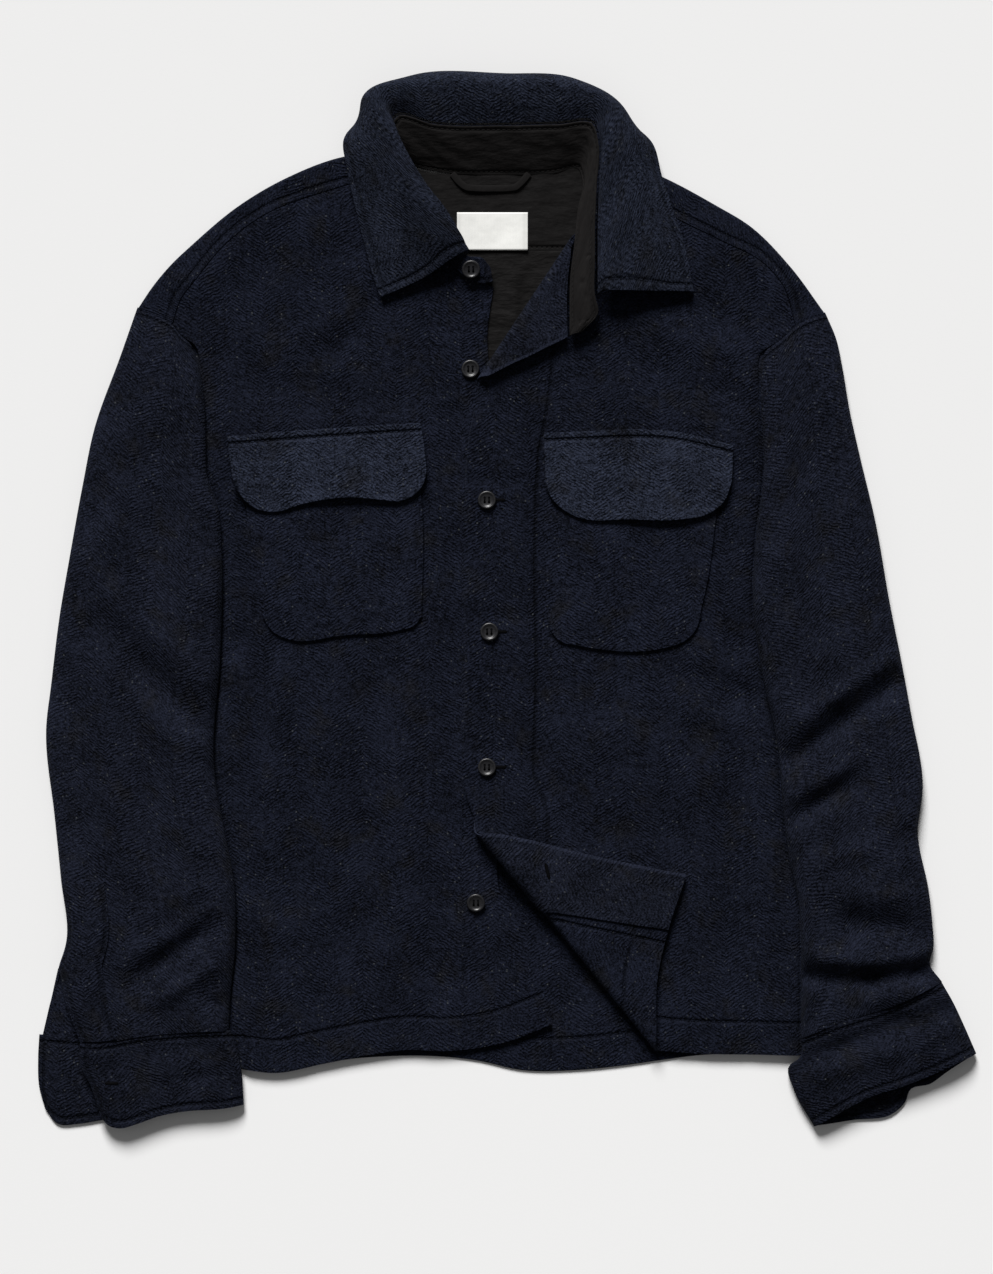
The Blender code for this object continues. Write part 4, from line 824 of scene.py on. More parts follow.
def cloth(node, mesh, finish, wall, edges, offset=-1.0):
    """Mark and finish one panel of cloth."""
    across, up = mesh.verts.layers.float["flat_x"], mesh.verts.layers.float["flat_y"]
    x = [vert[across] for vert in mesh.verts]
    y = [vert[up] for vert in mesh.verts]
    cut = (max(x) - min(x), max(y) - min(y))
    area = sum(flat_area(face, across, up) for face in mesh.faces)
    mark_cloth(mesh, edges)
    bmesh.ops.remove_doubles(mesh, verts=mesh.verts, dist=0.002)
    piece = finished("cloth_" + node, mesh, finish, node)
    grow_wall(piece, wall, offset)
    area = min(area * MM * MM, cut[0] * cut[1] * MM * MM)


def flat_area(face, across, up):
    """Area of a face on the flat pattern."""
    places = [(vert[across], vert[up]) for vert in face.verts]
    total = 0.0
    for (ax, ay), (bx, by) in zip(places, places[1:] + places[:1]):
        total += ax * by - bx * ay
    return abs(total) / 2


class Value:
    """A shader socket that sums, products and comparisons can be written with."""

    def __init__(self, board, socket):
        self.board = board
        self.socket = socket

    def maths(self, operation, *others):
        return self.board.maths(operation, self, *others)

    def __add__(self, other):
        return self.maths("ADD", other)

    def __radd__(self, other):
        return self.board.maths("ADD", other, self)

    def __sub__(self, other):
        return self.maths("SUBTRACT", other)

    def __rsub__(self, other):
        return self.board.maths("SUBTRACT", other, self)

    def __mul__(self, other):
        return self.maths("MULTIPLY", other)

    def __truediv__(self, other):
        return self.maths("DIVIDE", other)

    def clamp(self):
        return self.board.node("ShaderNodeClamp", {}, {"Value": self}, "Result")


class Board:
    """The nodes of one material."""

    def __init__(self, name):
        self.material = bpy.data.materials.new(name)
        self.material.use_nodes = True
        self.tree = self.material.node_tree
        self.shader = self.tree.nodes["Principled BSDF"]

    def link(self, value, socket):
        if isinstance(value, Value):
            self.tree.links.new(value.socket, socket)
        else:
            socket.default_value = value

    def node(self, kind, settings, inputs, output):
        made = self.tree.nodes.new(kind)
        for name, value in settings.items():
            setattr(made, name, value)
        for name, value in inputs.items():
            self.link(value, made.inputs[name])
        return Value(self, made.outputs[output])

    def maths(self, operation, *values):
        return self.node("ShaderNodeMath", {"operation": operation}, dict(enumerate(values)), "Value")

    def blend(self, share, first, second):
        """Colour between two, by a share."""
        made = self.tree.nodes.new("ShaderNodeMix")
        made.data_type = "RGBA"
        self.link(share, made.inputs[0])
        self.link(first, made.inputs[6])
        self.link(second, made.inputs[7])
        return Value(self, made.outputs[2])

    def flat(self, name):
        """Both numbers of one of the piece's UV maps."""
        place = self.node("ShaderNodeUVMap", {"uv_map": name}, {}, "UV")
        return (self.node("ShaderNodeSeparateXYZ", {}, {"Vector": place}, "X"),
                self.node("ShaderNodeSeparateXYZ", {}, {"Vector": place}, "Y"), place)

    def noise(self, place, scale, detail=2.0, roughness=0.5, stretch=None):
        if stretch:
            place = self.node("ShaderNodeMapping", {}, {"Vector": place, "Scale": stretch}, "Vector")
        return self.node("ShaderNodeTexNoise", {"noise_dimensions": "3D"},
                         {"Vector": place, "Scale": scale, "Detail": detail, "Roughness": roughness}, "Fac")

    def cells(self, place, scale, output="Distance"):
        return self.node("ShaderNodeTexVoronoi", {}, {"Vector": place, "Scale": scale}, output)

    def band(self, value, centre, width):
        """Soft bump between 0 and 1 where the value is near the centre."""
        gap = (value - centre) / width
        return self.maths("EXPONENT", gap * gap * -1.0)

    def step(self, value, start, end):
        """Smooth step between two values."""
        made = {"Value": value, "From Min": start, "From Max": end}
        return self.node("ShaderNodeMapRange", {"interpolation_type": "SMOOTHSTEP"}, made, "Result")

    def relief(self, height, distance, strength=1.0):
        bump = {"Strength": strength, "Distance": distance, "Height": height}
        self.link(self.node("ShaderNodeBump", {}, bump, "Normal"), self.shader.inputs["Normal"])

    def finish(self, colour, roughness, **fixed):
        self.link(colour, self.shader.inputs["Base Color"])
        self.link(roughness, self.shader.inputs["Roughness"])
        for name, value in fixed.items():
            self.shader.inputs[name.replace("_", " ")].default_value = value
        return self.material


# Weave, in metres
HERRINGBONE_WIDTH = 0.027
HERRINGBONE_PITCH = 0.0031
HERRINGBONE_SLOPE = 0.62
STITCH_PITCH = 0.0042
THREAD_WIDTH = 0.00045
GROOVE_WIDTH = 0.0015
WELT_START = 0.0022
WELT_END = 0.0002
BROWN_WOOL = ((0.0018, 0.0017, 0.0020, 1.0), (0.0150, 0.0150, 0.0160, 1.0))
PALE_FLECK = (0.052, 0.056, 0.060, 1.0)

SEAM_MAPS = {"left": ("sides", 0), "right": ("sides", 1), "low": ("ends", 0), "top": ("ends", 1)}


def shade(colour, factor):
    """A colour made lighter or darker."""
    return (colour[0] * factor, colour[1] * factor, colour[2] * factor, 1.0)


def seam_marks(board, rows):
    """Grooves, raised welts and thread of the rows of topstitching at set distances from the edges."""
    width, length, _ = board.flat("cloth")
    maps = {}
    groove = thread = welt = 0.0
    for edge, offset, rise in rows:
        name, channel = SEAM_MAPS[edge]
        if name not in maps:
            maps[name] = board.flat(name)
        gap = maps[name][channel]
        run = length if edge in ("left", "right") else width
        line = board.band(gap, offset, GROOVE_WIDTH)
        groove = line if groove == 0.0 else board.maths("MAXIMUM", groove, line)
        beat = board.node("ShaderNodeMath", {"operation": "FRACT"}, {0: run / STITCH_PITCH}, "Value")
        dash = board.step(beat, 0.0, 0.12) * (1.0 - board.step(beat, 0.62, 0.76))
        strand = board.band(gap, offset, THREAD_WIDTH) * dash
        thread = strand if thread == 0.0 else board.maths("MAXIMUM", thread, strand)
        raised = (1.0 - board.step(gap, offset - WELT_START, offset + WELT_END)) * rise
        welt = raised if welt == 0.0 else welt + raised
    return groove, thread, welt


def wool(name, colour, rows=(), rim=0.0):
    """Thick herringbone wool with a brushed nap, pale flecks and rows of stitching. The rim, if any, is the
    width of a pale strip along the left edge: a painted highlight for the light on a rolled fold."""
    board = Board(name)
    across, along_grain, place = board.flat("cloth")
    lean = board.maths("PINGPONG", across + 10.0, HERRINGBONE_WIDTH)
    column = board.maths("FLOOR", (across + 10.0) / HERRINGBONE_WIDTH)
    drift = (board.noise(place, 70.0, 1.0) - 0.5) * 1.5 + (board.noise(place, 260.0, 1.0) - 0.5) * 1.3
    phase = (along_grain + lean * HERRINGBONE_SLOPE) / HERRINGBONE_PITCH + column * 0.5 + drift
    rib = board.maths("SINE", phase * (2 * math.pi)) * 0.5 + 0.5
    yarn = board.noise(place, 620.0, 2.0, 0.7)
    fluff = board.noise(place, 210.0, 3.0, 0.65)
    nap = board.noise(place, 26.0, 4.0, 0.6)
    worn = board.step(board.noise(place, 48.0, 2.0), 0.34, 0.60)
    ribs_show = (rib - 0.5) * (0.30 + worn * 0.70)
    tone = ribs_show * 0.26 + (yarn - 0.5) * 2.3 + (fluff - 0.5) * 1.3 + (nap - 0.5) * 0.9 + 0.40
    cloth_colour = board.blend(tone.clamp(), shade(colour, 0.18), shade(colour, 2.25))
    brown = board.step(board.noise(place, 34.0, 3.0, 0.6), 0.52, 0.70) * 0.55
    cloth_colour = board.blend(brown, cloth_colour, board.blend(tone.clamp(), *BROWN_WOOL))
    speck = board.cells(place, 330.0)
    pick = board.cells(place, 330.0, "Color")
    chance = board.node("ShaderNodeSeparateColor", {}, {"Color": pick}, "Red")
    flecks = (1.0 - board.step(speck, 0.10, 0.32)) * board.step(chance, 0.80, 0.97) * 0.70
    cloth_colour = board.blend(flecks, cloth_colour, PALE_FLECK)
    height = ribs_show * 0.50 + yarn * 0.70 + fluff * 1.15
    if rim:
        # Painted highlight: the left edge is lightened as if the rolled fold caught the light
        painted_fold_highlight = 1.0 - board.step(board.flat("sides")[0], rim * 0.5, rim)
        cloth_colour = board.blend(painted_fold_highlight * 0.45, cloth_colour, shade(colour, 3.0))
    if rows:
        groove, thread, welt = seam_marks(board, rows)
        # Painted shade: the stitching grooves are darkened in colour as well as sunk by the bump
        cloth_colour = board.blend(groove * 0.42, cloth_colour, shade(colour, 0.20))
        height = height - groove * 1.5 + thread * 0.7 + welt
    board.relief(height, 0.0011)
    return board.finish(cloth_colour, 0.97 - rib * 0.04, Specular_IOR_Level=0.04, Sheen_Weight=0.012,
                        Sheen_Roughness=0.5, Sheen_Tint=(0.62, 0.72, 1.0, 1.0))


def cotton(name, colour, rows=(), wrinkle=1.0):
    """Smooth black cotton twill with soft small wrinkles."""
    board = Board(name)
    across, along_grain, place = board.flat("cloth")
    twill = board.maths("SINE", (across + along_grain) * (2 * math.pi / 0.0011)) * 0.5 + 0.5
    wave = board.noise(place, 46.0, 3.0, 0.5, (1.0, 2.3, 1.0))
    fine = board.noise(place, 260.0, 2.0, 0.5)
    tone = (twill * 0.16 + (wave - 0.5) * 0.9 + (fine - 0.5) * 0.8 + 0.45).clamp()
    lining_colour = board.blend(tone, shade(colour, 0.55), shade(colour, 1.45))
    height = wave * 2.6 * wrinkle + twill * 0.08 + fine * 0.18
    if rows:
        groove, thread, welt = seam_marks(board, rows)
        # Painted shade: the stitching grooves are darkened in colour as well as sunk by the bump
        lining_colour = board.blend(groove * 0.5, lining_colour, shade(colour, 0.40))
        lining_colour = board.blend(thread * 0.6, lining_colour, shade(colour, 1.9))
        height = height - groove * 1.1 + thread * 0.6 + welt
    board.relief(height, 0.0009)
    return board.finish(lining_colour, 0.80 - tone * 0.08, Specular_IOR_Level=0.10, Sheen_Weight=0.01,
                        Sheen_Roughness=0.5, Sheen_Tint=(1.0, 0.93, 0.90, 1.0))


def label_satin(name, colour):
    """Blank woven label: close satin ribs with folded, stitched ends."""
    board = Board(name)
    across, along_grain, place = board.flat("cloth")
    ribs = board.maths("SINE", along_grain * (2 * math.pi / 0.0007)) * 0.5 + 0.5
    warp = board.maths("SINE", across * (2 * math.pi / 0.0012)) * 0.5 + 0.5
    wave = board.noise(place, 60.0, 2.0)
    tone = (ribs * 0.35 + warp * 0.25 + (wave - 0.5) * 0.8 + 0.25).clamp()
    satin = board.blend(tone, shade(colour, 0.88), shade(colour, 1.04))
    groove, _, welt = seam_marks(board, (("left", 0.0020, 0.2), ("right", 0.0020, 0.2)))
    satin = board.blend(groove * 0.22, satin, shade(colour, 0.55))
    board.relief(ribs * 0.10 + warp * 0.08 + wave * 1.2 - groove * 0.5 + welt, 0.0005)
    return board.finish(satin, 0.62, Specular_IOR_Level=0.4, Sheen_Weight=0.1, Sheen_Roughness=0.4,
                        Sheen_Tint=(1.0, 1.0, 1.0, 1.0))


def resin(name, colour):
    """Dark polished button resin with a faint grain and fine scratches."""
    board = Board(name)
    place = board.node("ShaderNodeTexCoord", {}, {}, "Object")
    grain = board.noise(place, 260.0, 4.0, 0.6, (1.0, 3.5, 1.0))
    scratch = board.noise(place, 2600.0, 2.0, 0.5, (1.0, 0.12, 1.0))
    tone = board.step(grain, 0.32, 0.70)
    mottled = board.blend(tone, shade(colour, 0.62), shade(colour, 1.75))
    board.relief(scratch * 0.25 + grain * 0.3, 0.00008)
    return board.finish(mottled, 0.30 + scratch * 0.16, Specular_IOR_Level=0.55)


def thread_finish(name, colour):
    """Matt sewing thread with its twist."""
    board = Board(name)
    place = board.node("ShaderNodeTexCoord", {}, {}, "Object")
    twist = board.noise(place, 1800.0, 2.0, 0.5, (1.0, 2.0, 1.0))
    board.relief(twist, 0.0002)
    twisted = board.blend(twist, shade(colour, 0.6), shade(colour, 1.5))
    return board.finish(twisted, 0.9, Specular_IOR_Level=0.05)


def studio_floor(name, colour):
    """Pale matt paper."""
    board = Board(name)
    place = board.node("ShaderNodeTexCoord", {}, {}, "Object")
    cloudy = board.noise(place, 0.8, 2.0)
    paper = board.blend(cloudy, shade(colour, 0.985), shade(colour, 1.01))
    board.relief(board.noise(place, 900.0, 2.0), 0.00004)
    return board.finish(paper, 0.92, Specular_IOR_Level=0.15)


def spread(line, steps):
    """How far a side of the back stands out at its points: everywhere, and more past each step."""
    out = BACK_SPREAD + sum(more * ease((line[:, 1] - start) / run) for start, run, more in steps)
    return np.column_stack([out, 0 * out])


def back_panel(finish):
    """The back, flat on the surface, from the hem to the back yoke seam."""
    right_side = fine_line(RIGHT_SIDE)[:(SIDE_END + 1) * LINE_STEPS + 1]
    left_side = fine_line(LEFT_SIDE)[:SIDE_END * LINE_STEPS + 1]
    right_side = np.vstack([right_side - spread(right_side, BACK_RIGHT_STEPS), BACK_RIGHT_CORNER])
    left_side = np.vstack([left_side + spread(left_side, BACK_LEFT_STEPS), *BACK_LEFT_CORNER])
    top = fine_line((tuple(right_side[-1]),) + BACK_SEAM[1:-1] + (tuple(left_side[-1]),)) - np.array([0, GAP])
    right_side[-1], left_side[-1] = top[0], top[-1]
    hem = fine_line((tuple(right_side[0]),) + BACK_HEM[1:-1] + (tuple(left_side[0]),))
    across, up = np.meshgrid(*(even(0, 1, step) for step in BACK_STEPS))
    plan = patch(hem, top, right_side, left_side, across, up)
    mesh = grid_mesh(at_level(plan, 0.0)[:, ::-1], plan[:, ::-1])
    edges = {"left": left_side, "right": right_side, "low": hem, "top": top}
    cloth("back", mesh, finish, WOOL, edges)


def yoke_panel(finish):
    """The shoulder piece: flat behind, rolled over at both shoulders and down to the front seams."""
    columns = even(0, 1, YOKE_STEP)
    count = len(columns)
    shoulders = ((RIGHT_SHOULDER, columns), (BACK_NECK, np.linspace(0, 1, NECK_COLUMNS)),
                 (LEFT_SHOULDER, columns))
    top = [along(fine_line(line), shares) for line, shares in shoulders]
    fronts = [along(fine_line(line), columns) for line in (RIGHT_YOKE_SEAM, LEFT_YOKE_SEAM)]
    radius = FRONT_LEVEL / 2
    rim = np.vstack([top[0], top[1][1:-1], top[2]])
    seam = along(fine_line(BACK_SEAM), np.linspace(0, 1, len(rim)))
    places = np.arange(len(rim))
    on_shoulder = (places < count) | (places >= len(rim) - count)
    inward = seam - rim
    inward = inward / np.linalg.norm(inward, axis=1)[:, None]
    foot = rim + inward * np.where(on_shoulder, radius, 0.0)[:, None]
    flat = np.stack([seam * (1 - t) + foot * t for t in np.linspace(0, 1, YOKE_ROWS)])
    mesh = grid_mesh(at_level(flat, 0.0)[:, ::-1], flat[:, ::-1])
    front_edges = []
    for side, front in zip((slice(0, count), slice(len(rim) - count, None)), fronts):
        edge = rim[side]
        base = foot[side]
        ahead = front - edge
        crest = edge + ahead / np.linalg.norm(ahead, axis=1)[:, None] * radius
        crest_z = body_level(crest[:, 0], crest[:, 1])
        layers = [np.column_stack([base, np.zeros(len(base))])]
        for angle in np.linspace(0, math.pi, ROLL_ROWS)[1:-1]:
            swing = (1 + math.cos(angle)) / 2
            middle = base * swing + crest * (1 - swing)
            outward = (edge - (base + crest) / 2) * math.sin(angle)
            layers.append(np.column_stack([middle + outward, crest_z * (1 - math.cos(angle)) / 2]))
        for t in np.linspace(0, 1, YOKE_FRONT_ROWS):
            place = crest * (1 - t) + front * t
            layers.append(np.column_stack([place, body_level(place[:, 0], place[:, 1])]))
        points = np.stack(layers)[:, ::-1]
        pattern = base[::-1] - inward[side][::-1] * unrolled(points, 0)[..., 1:]
        lay_grid(mesh, points, pattern)
        front_edges.append(pattern[-1])
    seams = {"left": None, "right": None, "low": front_edges[0], "top": front_edges[1]}
    cloth("yoke", mesh, finish, WOOL, seams)


def lining_panels(finish):
    """Black cotton inside the back yoke and the upper back, pleated at the centre."""
    columns, count = YOKE_LINING_GRID
    top = along(fine_line(YOKE_LINING_NECK), np.linspace(0, 1, columns))
    low = np.column_stack([top[:, 0], np.full(len(top), LINING_SEAM_Y + GAP)])
    rows = np.stack([low * (1 - t) + top * t for t in np.linspace(0, 1, count)])
    x, y = rows[..., 0], rows[..., 1]
    seam_roll = np.exp(-((y - LINING_SEAM_Y) / 2.2) ** 2)
    neck_pull = 0.8 * wander(x, y * 0.4, 14, 5) * ease((y - 318) / 20)
    swell = 0.5 + 0.5 * wander(x, y, 24, 9) + neck_pull - 0.5 * seam_roll
    mesh = grid_mesh(at_level(rows, LINING_LEVEL + np.maximum(swell, 0)), rows)
    cloth("yoke_lining", mesh, finish["yoke"], LINING, grid_edges(rows))
    left, right = YOKE_LINING_WIDTH
    x, y = np.meshgrid(even(left, right, BACK_LINING_STEPS[0]),
                       even(LINING_END_Y, LINING_SEAM_Y, BACK_LINING_STEPS[1]))
    away = (x - PLEAT_X) / PLEAT_WIDTH
    ridge = PLEAT_HEIGHT * (np.exp(-away ** 2) - 0.5 * np.exp(-(away - 1.7) ** 2))
    ridge = ridge * ease((LINING_SEAM_Y - y) / 30)
    swell = 0.5 + 0.5 * wander(x, y, 26, 12)
    pattern = np.stack([x, y], axis=-1)
    mesh = grid_mesh(at_level(pattern, LINING_LEVEL + np.maximum(ridge + swell, 0)), pattern)
    cloth("back_lining", mesh, finish["back"], LINING, grid_edges(pattern))


def right_front_panel(finish):
    """The front that lies under, from its side fold to its buttoned edge."""
    across = shares_through((0.0, RIGHT_CORNER_SHARE, 1.0), RIGHT_COLUMNS)
    across = np.unique(np.concatenate([RIGHT_SIDE_SHARES, across[3:], (RIGHT_EDGE_SHARE,)]))
    up = rows_to_corner(RIGHT_SIDE, ARMHOLE_POINT, FRONT_ROW)
    top = joined_curve(fine_line(RIGHT_YOKE_SEAM), fine_line(RIGHT_NECK), RIGHT_CORNER_SHARE, across)
    top = set_back(top, SEAM_GAP)
    side, hem, front_edge = fine_line(RIGHT_SIDE), fine_line(RIGHT_HEM), fine_line(RIGHT_FRONT_EDGE)
    plan = body_grid(hem, top, side, front_edge, across, up)
    x, y = plan[..., 0], plan[..., 1]
    z = rolled_side(x, y, body_level(x, y), side[:SIDE_END * LINE_STEPS + 1])
    edges = {"left": side, "right": front_edge, "low": hem, "top": top}
    mesh = grid_mesh(at_level(plan, z), plan)
    cloth("front_right", mesh, finish, WOOL, edges)


def left_front_pattern(facing):
    """The over front drawn flat and cut along its turns, whole or for the facing's width."""
    across = shares_through((0.0, FACING_SHARE, LEFT_CORNER_SHARE, 1.0), LEFT_COLUMNS)
    across = np.unique(np.concatenate([across[:-3], LEFT_SIDE_SHARES]))
    up = rows_to_corner(LEFT_SIDE, ARMHOLE_POINT, FRONT_ROW)
    neck = np.vstack([fine_line(LEFT_NECK), fine_line(LEFT_NECK_RISE)])
    top = joined_curve(neck, fine_line(LEFT_YOKE_SEAM), LEFT_CORNER_SHARE, across)
    top = set_back(top, SEAM_GAP)
    edges = {"left": fine_line(LEFT_FRONT_EDGE), "right": fine_line(LEFT_SIDE), "low": fine_line(LEFT_HEM),
             "top": top}
    plan = body_grid(edges["low"], top, edges["left"], edges["right"], across, up)
    if facing:
        plan = plan[:, across <= FACING_SHARE + 0.0001]
        edges["right"] = plan[:, -1].copy()
    for line in (plan, edges["left"], edges["right"]):
        line[..., 0] = drawn_aside(line[..., 0], line[..., 1])
    mesh = grid_mesh(at_level(plan, 0.0), plan)
    across_layer, up_layer = mesh.verts.layers.float["flat_x"], mesh.verts.layers.float["flat_y"]
    for turn in (LAPEL_TURN, CORNER_TURN):
        row = turn_frame(turn)
        normal = np.array(row["normal"])
        for step in range(TURN_STEPS + 1):
            swing = step / TURN_STEPS * math.pi - 1
            start = np.array(row["start"]) + normal * (swing * row["start_radius"] - WOOL)
            end = np.array(row["end"]) + normal * (swing * row["end_radius"] - WOOL)
            run = end - start
            parts = mesh.verts[:] + mesh.edges[:] + mesh.faces[:]
            bmesh.ops.bisect_plane(mesh, geom=parts, dist=0.12, plane_co=(start[0], start[1], 0.0),
                                   plane_no=(run[1], -run[0], 0.0))
    for vert in mesh.verts:
        vert[across_layer], vert[up_layer] = vert.co.x, vert.co.y
    x = np.array([vert.co.x for vert in mesh.verts])
    y = np.array([vert.co.y for vert in mesh.verts])
    for vert, place in zip(mesh.verts, zip(*left_front_point(x, y))):
        vert.co = place
    return mesh, edges


def left_front_panels(finish, facing_finish):
    """The front that lies over, with both turned corners, and the facing inside its edge."""
    mesh, edges = left_front_pattern(False)
    cloth("front_left", mesh, finish, WOOL, edges)
    mesh, edges = left_front_pattern(True)
    shift_along_normals(mesh, -(WOOL + FACING_GAP))
    cloth("facing_left", mesh, facing_finish, FACING, edges)


def open_section(section):
    """A section through its points, with the share of each point that an open edge lets down or lifts."""
    fine = np.clip(fine_line(section, TUBE_STEPS), 0, 1.01)
    last = len(section) - 1
    place = np.linspace(0, last, len(fine))
    lowered = np.interp(place, (0, 3, 4), (1, 1, 0))
    raised = np.interp(place, (last - 4, last - 3), (0, 1))
    lifted = np.interp(place, (last - 3, last - 2, last - 1, last), (0.93, 0.88, 0.82, 0.78))
    return np.clip(fine[:, 0], 0, 1), fine[:, 1], lowered, raised, lifted


def tube(section, over, under, heights, folds, creases, rows, seed, vent=None):
    """A flattened tube or an open band: the lower half follows one outline and the upper half another."""
    across, up, lowered, raised, lifted = open_section(section)
    half = int(np.argmax([pair[0] for pair in section])) * TUBE_STEPS + 1
    levels = np.array(heights, float)
    weight = ease((up - 0.5) / 0.4)
    weight[:half] = 0
    layers = []
    for down in rows:
        lower = patch(*under, across[:half], np.full(half, 1 - down))
        upper = patch(*over, across[half:], np.full(len(across) - half, 1 - down))
        plan = np.vstack([lower, upper])
        x, y = plan[:, 0], plan[:, 1]
        opened = 0.0 if vent is None else float(ease((down - vent[0]) / vent[1]))
        lift = up * (1 - lowered * opened)
        lift = lift * (1 - raised * opened) + lifted * raised * opened
        height = np.interp(down, levels[:, 0], levels[:, 1])
        shape = relief(x, y, folds) + slack(x, y, seed) * TUBE_SLACK + drape(x, y, creases)
        shape = np.maximum(shape, LOWEST_FRONT - height)
        layers.append(np.column_stack([plan, np.maximum(lift * height + shape * weight, 0)]))
    return np.stack(layers)


def lengthened(points):
    """A tube with a low row added at the armhole and its last row moved on, so that its seams close."""
    points = points.copy()
    run = points[-1] - points[-2]
    points[-1] += run / np.linalg.norm(run, axis=1)[:, None] * SEAM_LAP
    run = points[0] - points[1]
    tucked = points[0] + run / np.linalg.norm(run, axis=1)[:, None] * ARMHOLE_TUCK
    tucked[:, 2] = 0.4 + tucked[:, 2] * 0.6
    return np.concatenate([tucked[None], points])


def tube_pattern(points, middle, open_sides=False):
    """Flat pattern of a sleeve or cuff and its edge lines: the armhole end is the top."""
    flat = unrolled(points, middle) * (1, -1)
    sides = (flat[:, 0], flat[:, -1]) if open_sides else (None, None)
    return flat, {"left": sides[0], "right": sides[1], "low": flat[-1], "top": flat[0]}


def tube_cloth(name, points, middle, finish, wall, open_sides=False):
    """A sleeve or cuff from its places."""
    flat, edges = tube_pattern(points, middle, open_sides)
    cloth(name, grid_mesh(points, flat), finish, wall, edges)


def reversed_line(points):
    """A smooth curve drawn from its last point to its first."""
    return fine_line(points)[::-1]


def sleeve_panels(finish, strip_finish):
    """Both sleeves, flattened tubes; the right one opens at its vent above the cuff."""
    inner = reversed_line(RIGHT_SLEEVE_INNER)
    outer = fine_line(RIGHT_SLEEVE_OUTER)
    over_left, under_left = (np.vstack([outer, fine_line(vent)[1:]])[::-1]
                             for vent in (RIGHT_VENT_OVER, RIGHT_VENT_UNDER))
    over = (fine_line(RIGHT_CUFF_SEAM_OVER), fine_line(RIGHT_ARMHOLE), over_left, inner)
    under = (fine_line(RIGHT_CUFF_SEAM_UNDER), fine_line(RIGHT_ARMHOLE_UNDER), under_left, inner)
    shape = (TUBE_SECTION, over, under, SLEEVE_HEIGHTS, RIGHT_SLEEVE_FOLDS, RIGHT_SLEEVE_DRAPE)
    rows = even(0, 1, SLEEVE_ROW)
    points = tube(*shape, rows, SEEDS["sleeve_right"], VENT)
    closed = rows <= VENT[0]
    points[closed, 0] = points[closed, -1] = (points[closed, 0] + points[closed, -1]) / 2
    tube_cloth("sleeve_right", lengthened(points), SLEEVE_MIDDLE, finish, WOOL)
    strip = tube(*shape, even(*STRIP_ROWS), SEEDS["sleeve_right"], VENT)[:, STRIP_COLUMNS]
    flat, edges = tube_pattern(strip, 0, True)
    mesh = grid_mesh(strip, flat)
    shift_along_normals(mesh, LAID_GAP)
    cloth("sleeve_placket_right", mesh, strip_finish, TAPE, edges,
          1.0)
    sides = (reversed_line(LEFT_SLEEVE_INNER), reversed_line(LEFT_SLEEVE_OUTER))
    over = (fine_line(LEFT_CUFF_SEAM), fine_line(LEFT_ARMHOLE)) + sides
    under = (fine_line(LEFT_CUFF_SEAM), fine_line(LEFT_ARMHOLE_UNDER)) + sides
    points = tube(TUBE_SECTION, over, under, SLEEVE_HEIGHTS, LEFT_SLEEVE_FOLDS, LEFT_SLEEVE_DRAPE, rows,
                  SEEDS["sleeve_left"])
    tube_cloth("sleeve_left", lengthened(points), SLEEVE_MIDDLE, finish, WOOL)


def cuff_panels(finish):
    """Both cuffs, unfastened: the right one shows its two ends, the left one opens underneath."""
    rows = even(0, 1, CUFF_ROW)
    fold = reversed_line(RIGHT_CUFF_FOLD)
    over = (fine_line(RIGHT_CUFF_LOW_OVER), fine_line(RIGHT_CUFF_TOP_OVER),
            reversed_line(RIGHT_CUFF_OVER_END), fold)
    under = (fine_line(RIGHT_CUFF_LOW_UNDER), fine_line(RIGHT_CUFF_TOP_UNDER),
             reversed_line(RIGHT_CUFF_UNDER_END), fold)
    points = tube(CUFF_SECTION, over, under, RIGHT_CUFF_HEIGHTS, RIGHT_CUFF_FOLDS, RIGHT_CUFF_DRAPE, rows,
                  SEEDS["cuff_right"], OPEN_THROUGHOUT)
    tube_cloth("cuff_right", points, 0, finish, CUFF_WALL, True)
    sides = (reversed_line(LEFT_CUFF_LEFT_FOLD), reversed_line(LEFT_CUFF_RIGHT_FOLD))
    over = (fine_line(LEFT_CUFF_LOW_OVER), fine_line(LEFT_CUFF_TOP)) + sides
    under = (fine_line(LEFT_CUFF_LOW_UNDER), fine_line(LEFT_CUFF_TOP)) + sides
    points = tube(CUFF_SECTION, over, under, LEFT_CUFF_HEIGHTS, LEFT_CUFF_FOLDS, LEFT_CUFF_DRAPE, rows,
                  SEEDS["cuff_left"])
    tube_cloth("cuff_left", points, 0, finish, CUFF_WALL)


def bag_height(plan, lines, across, up):
    """A bag swells away from its sewn edges."""
    x, y = plan[..., 0], plan[..., 1]
    rim = line_distance(x, y, np.vstack([lines["left"], lines["low"][1:], lines["right"][::-1][1:]]))
    return LAID_GAP + WOOL + 0.9 * ease(rim / 22) + 0.5 * wander(x, y, 31, 7) * ease(rim / 16)


def flap_height(plan, lines, across, up):
    """A flap lies on its bag and curls up towards its free edge."""
    wave = 0.55 + 0.45 * np.cos(across * 2 * math.pi * 1.5 + 0.6)
    ripple = 0.5 * wander(plan[..., 0], plan[..., 1], 24, 17) * ease((1 - up) * 3)
    return 2 * (LAID_GAP + WOOL) + 0.6 + FLAP_CURL * wave * (1 - up) ** 2 + ripple


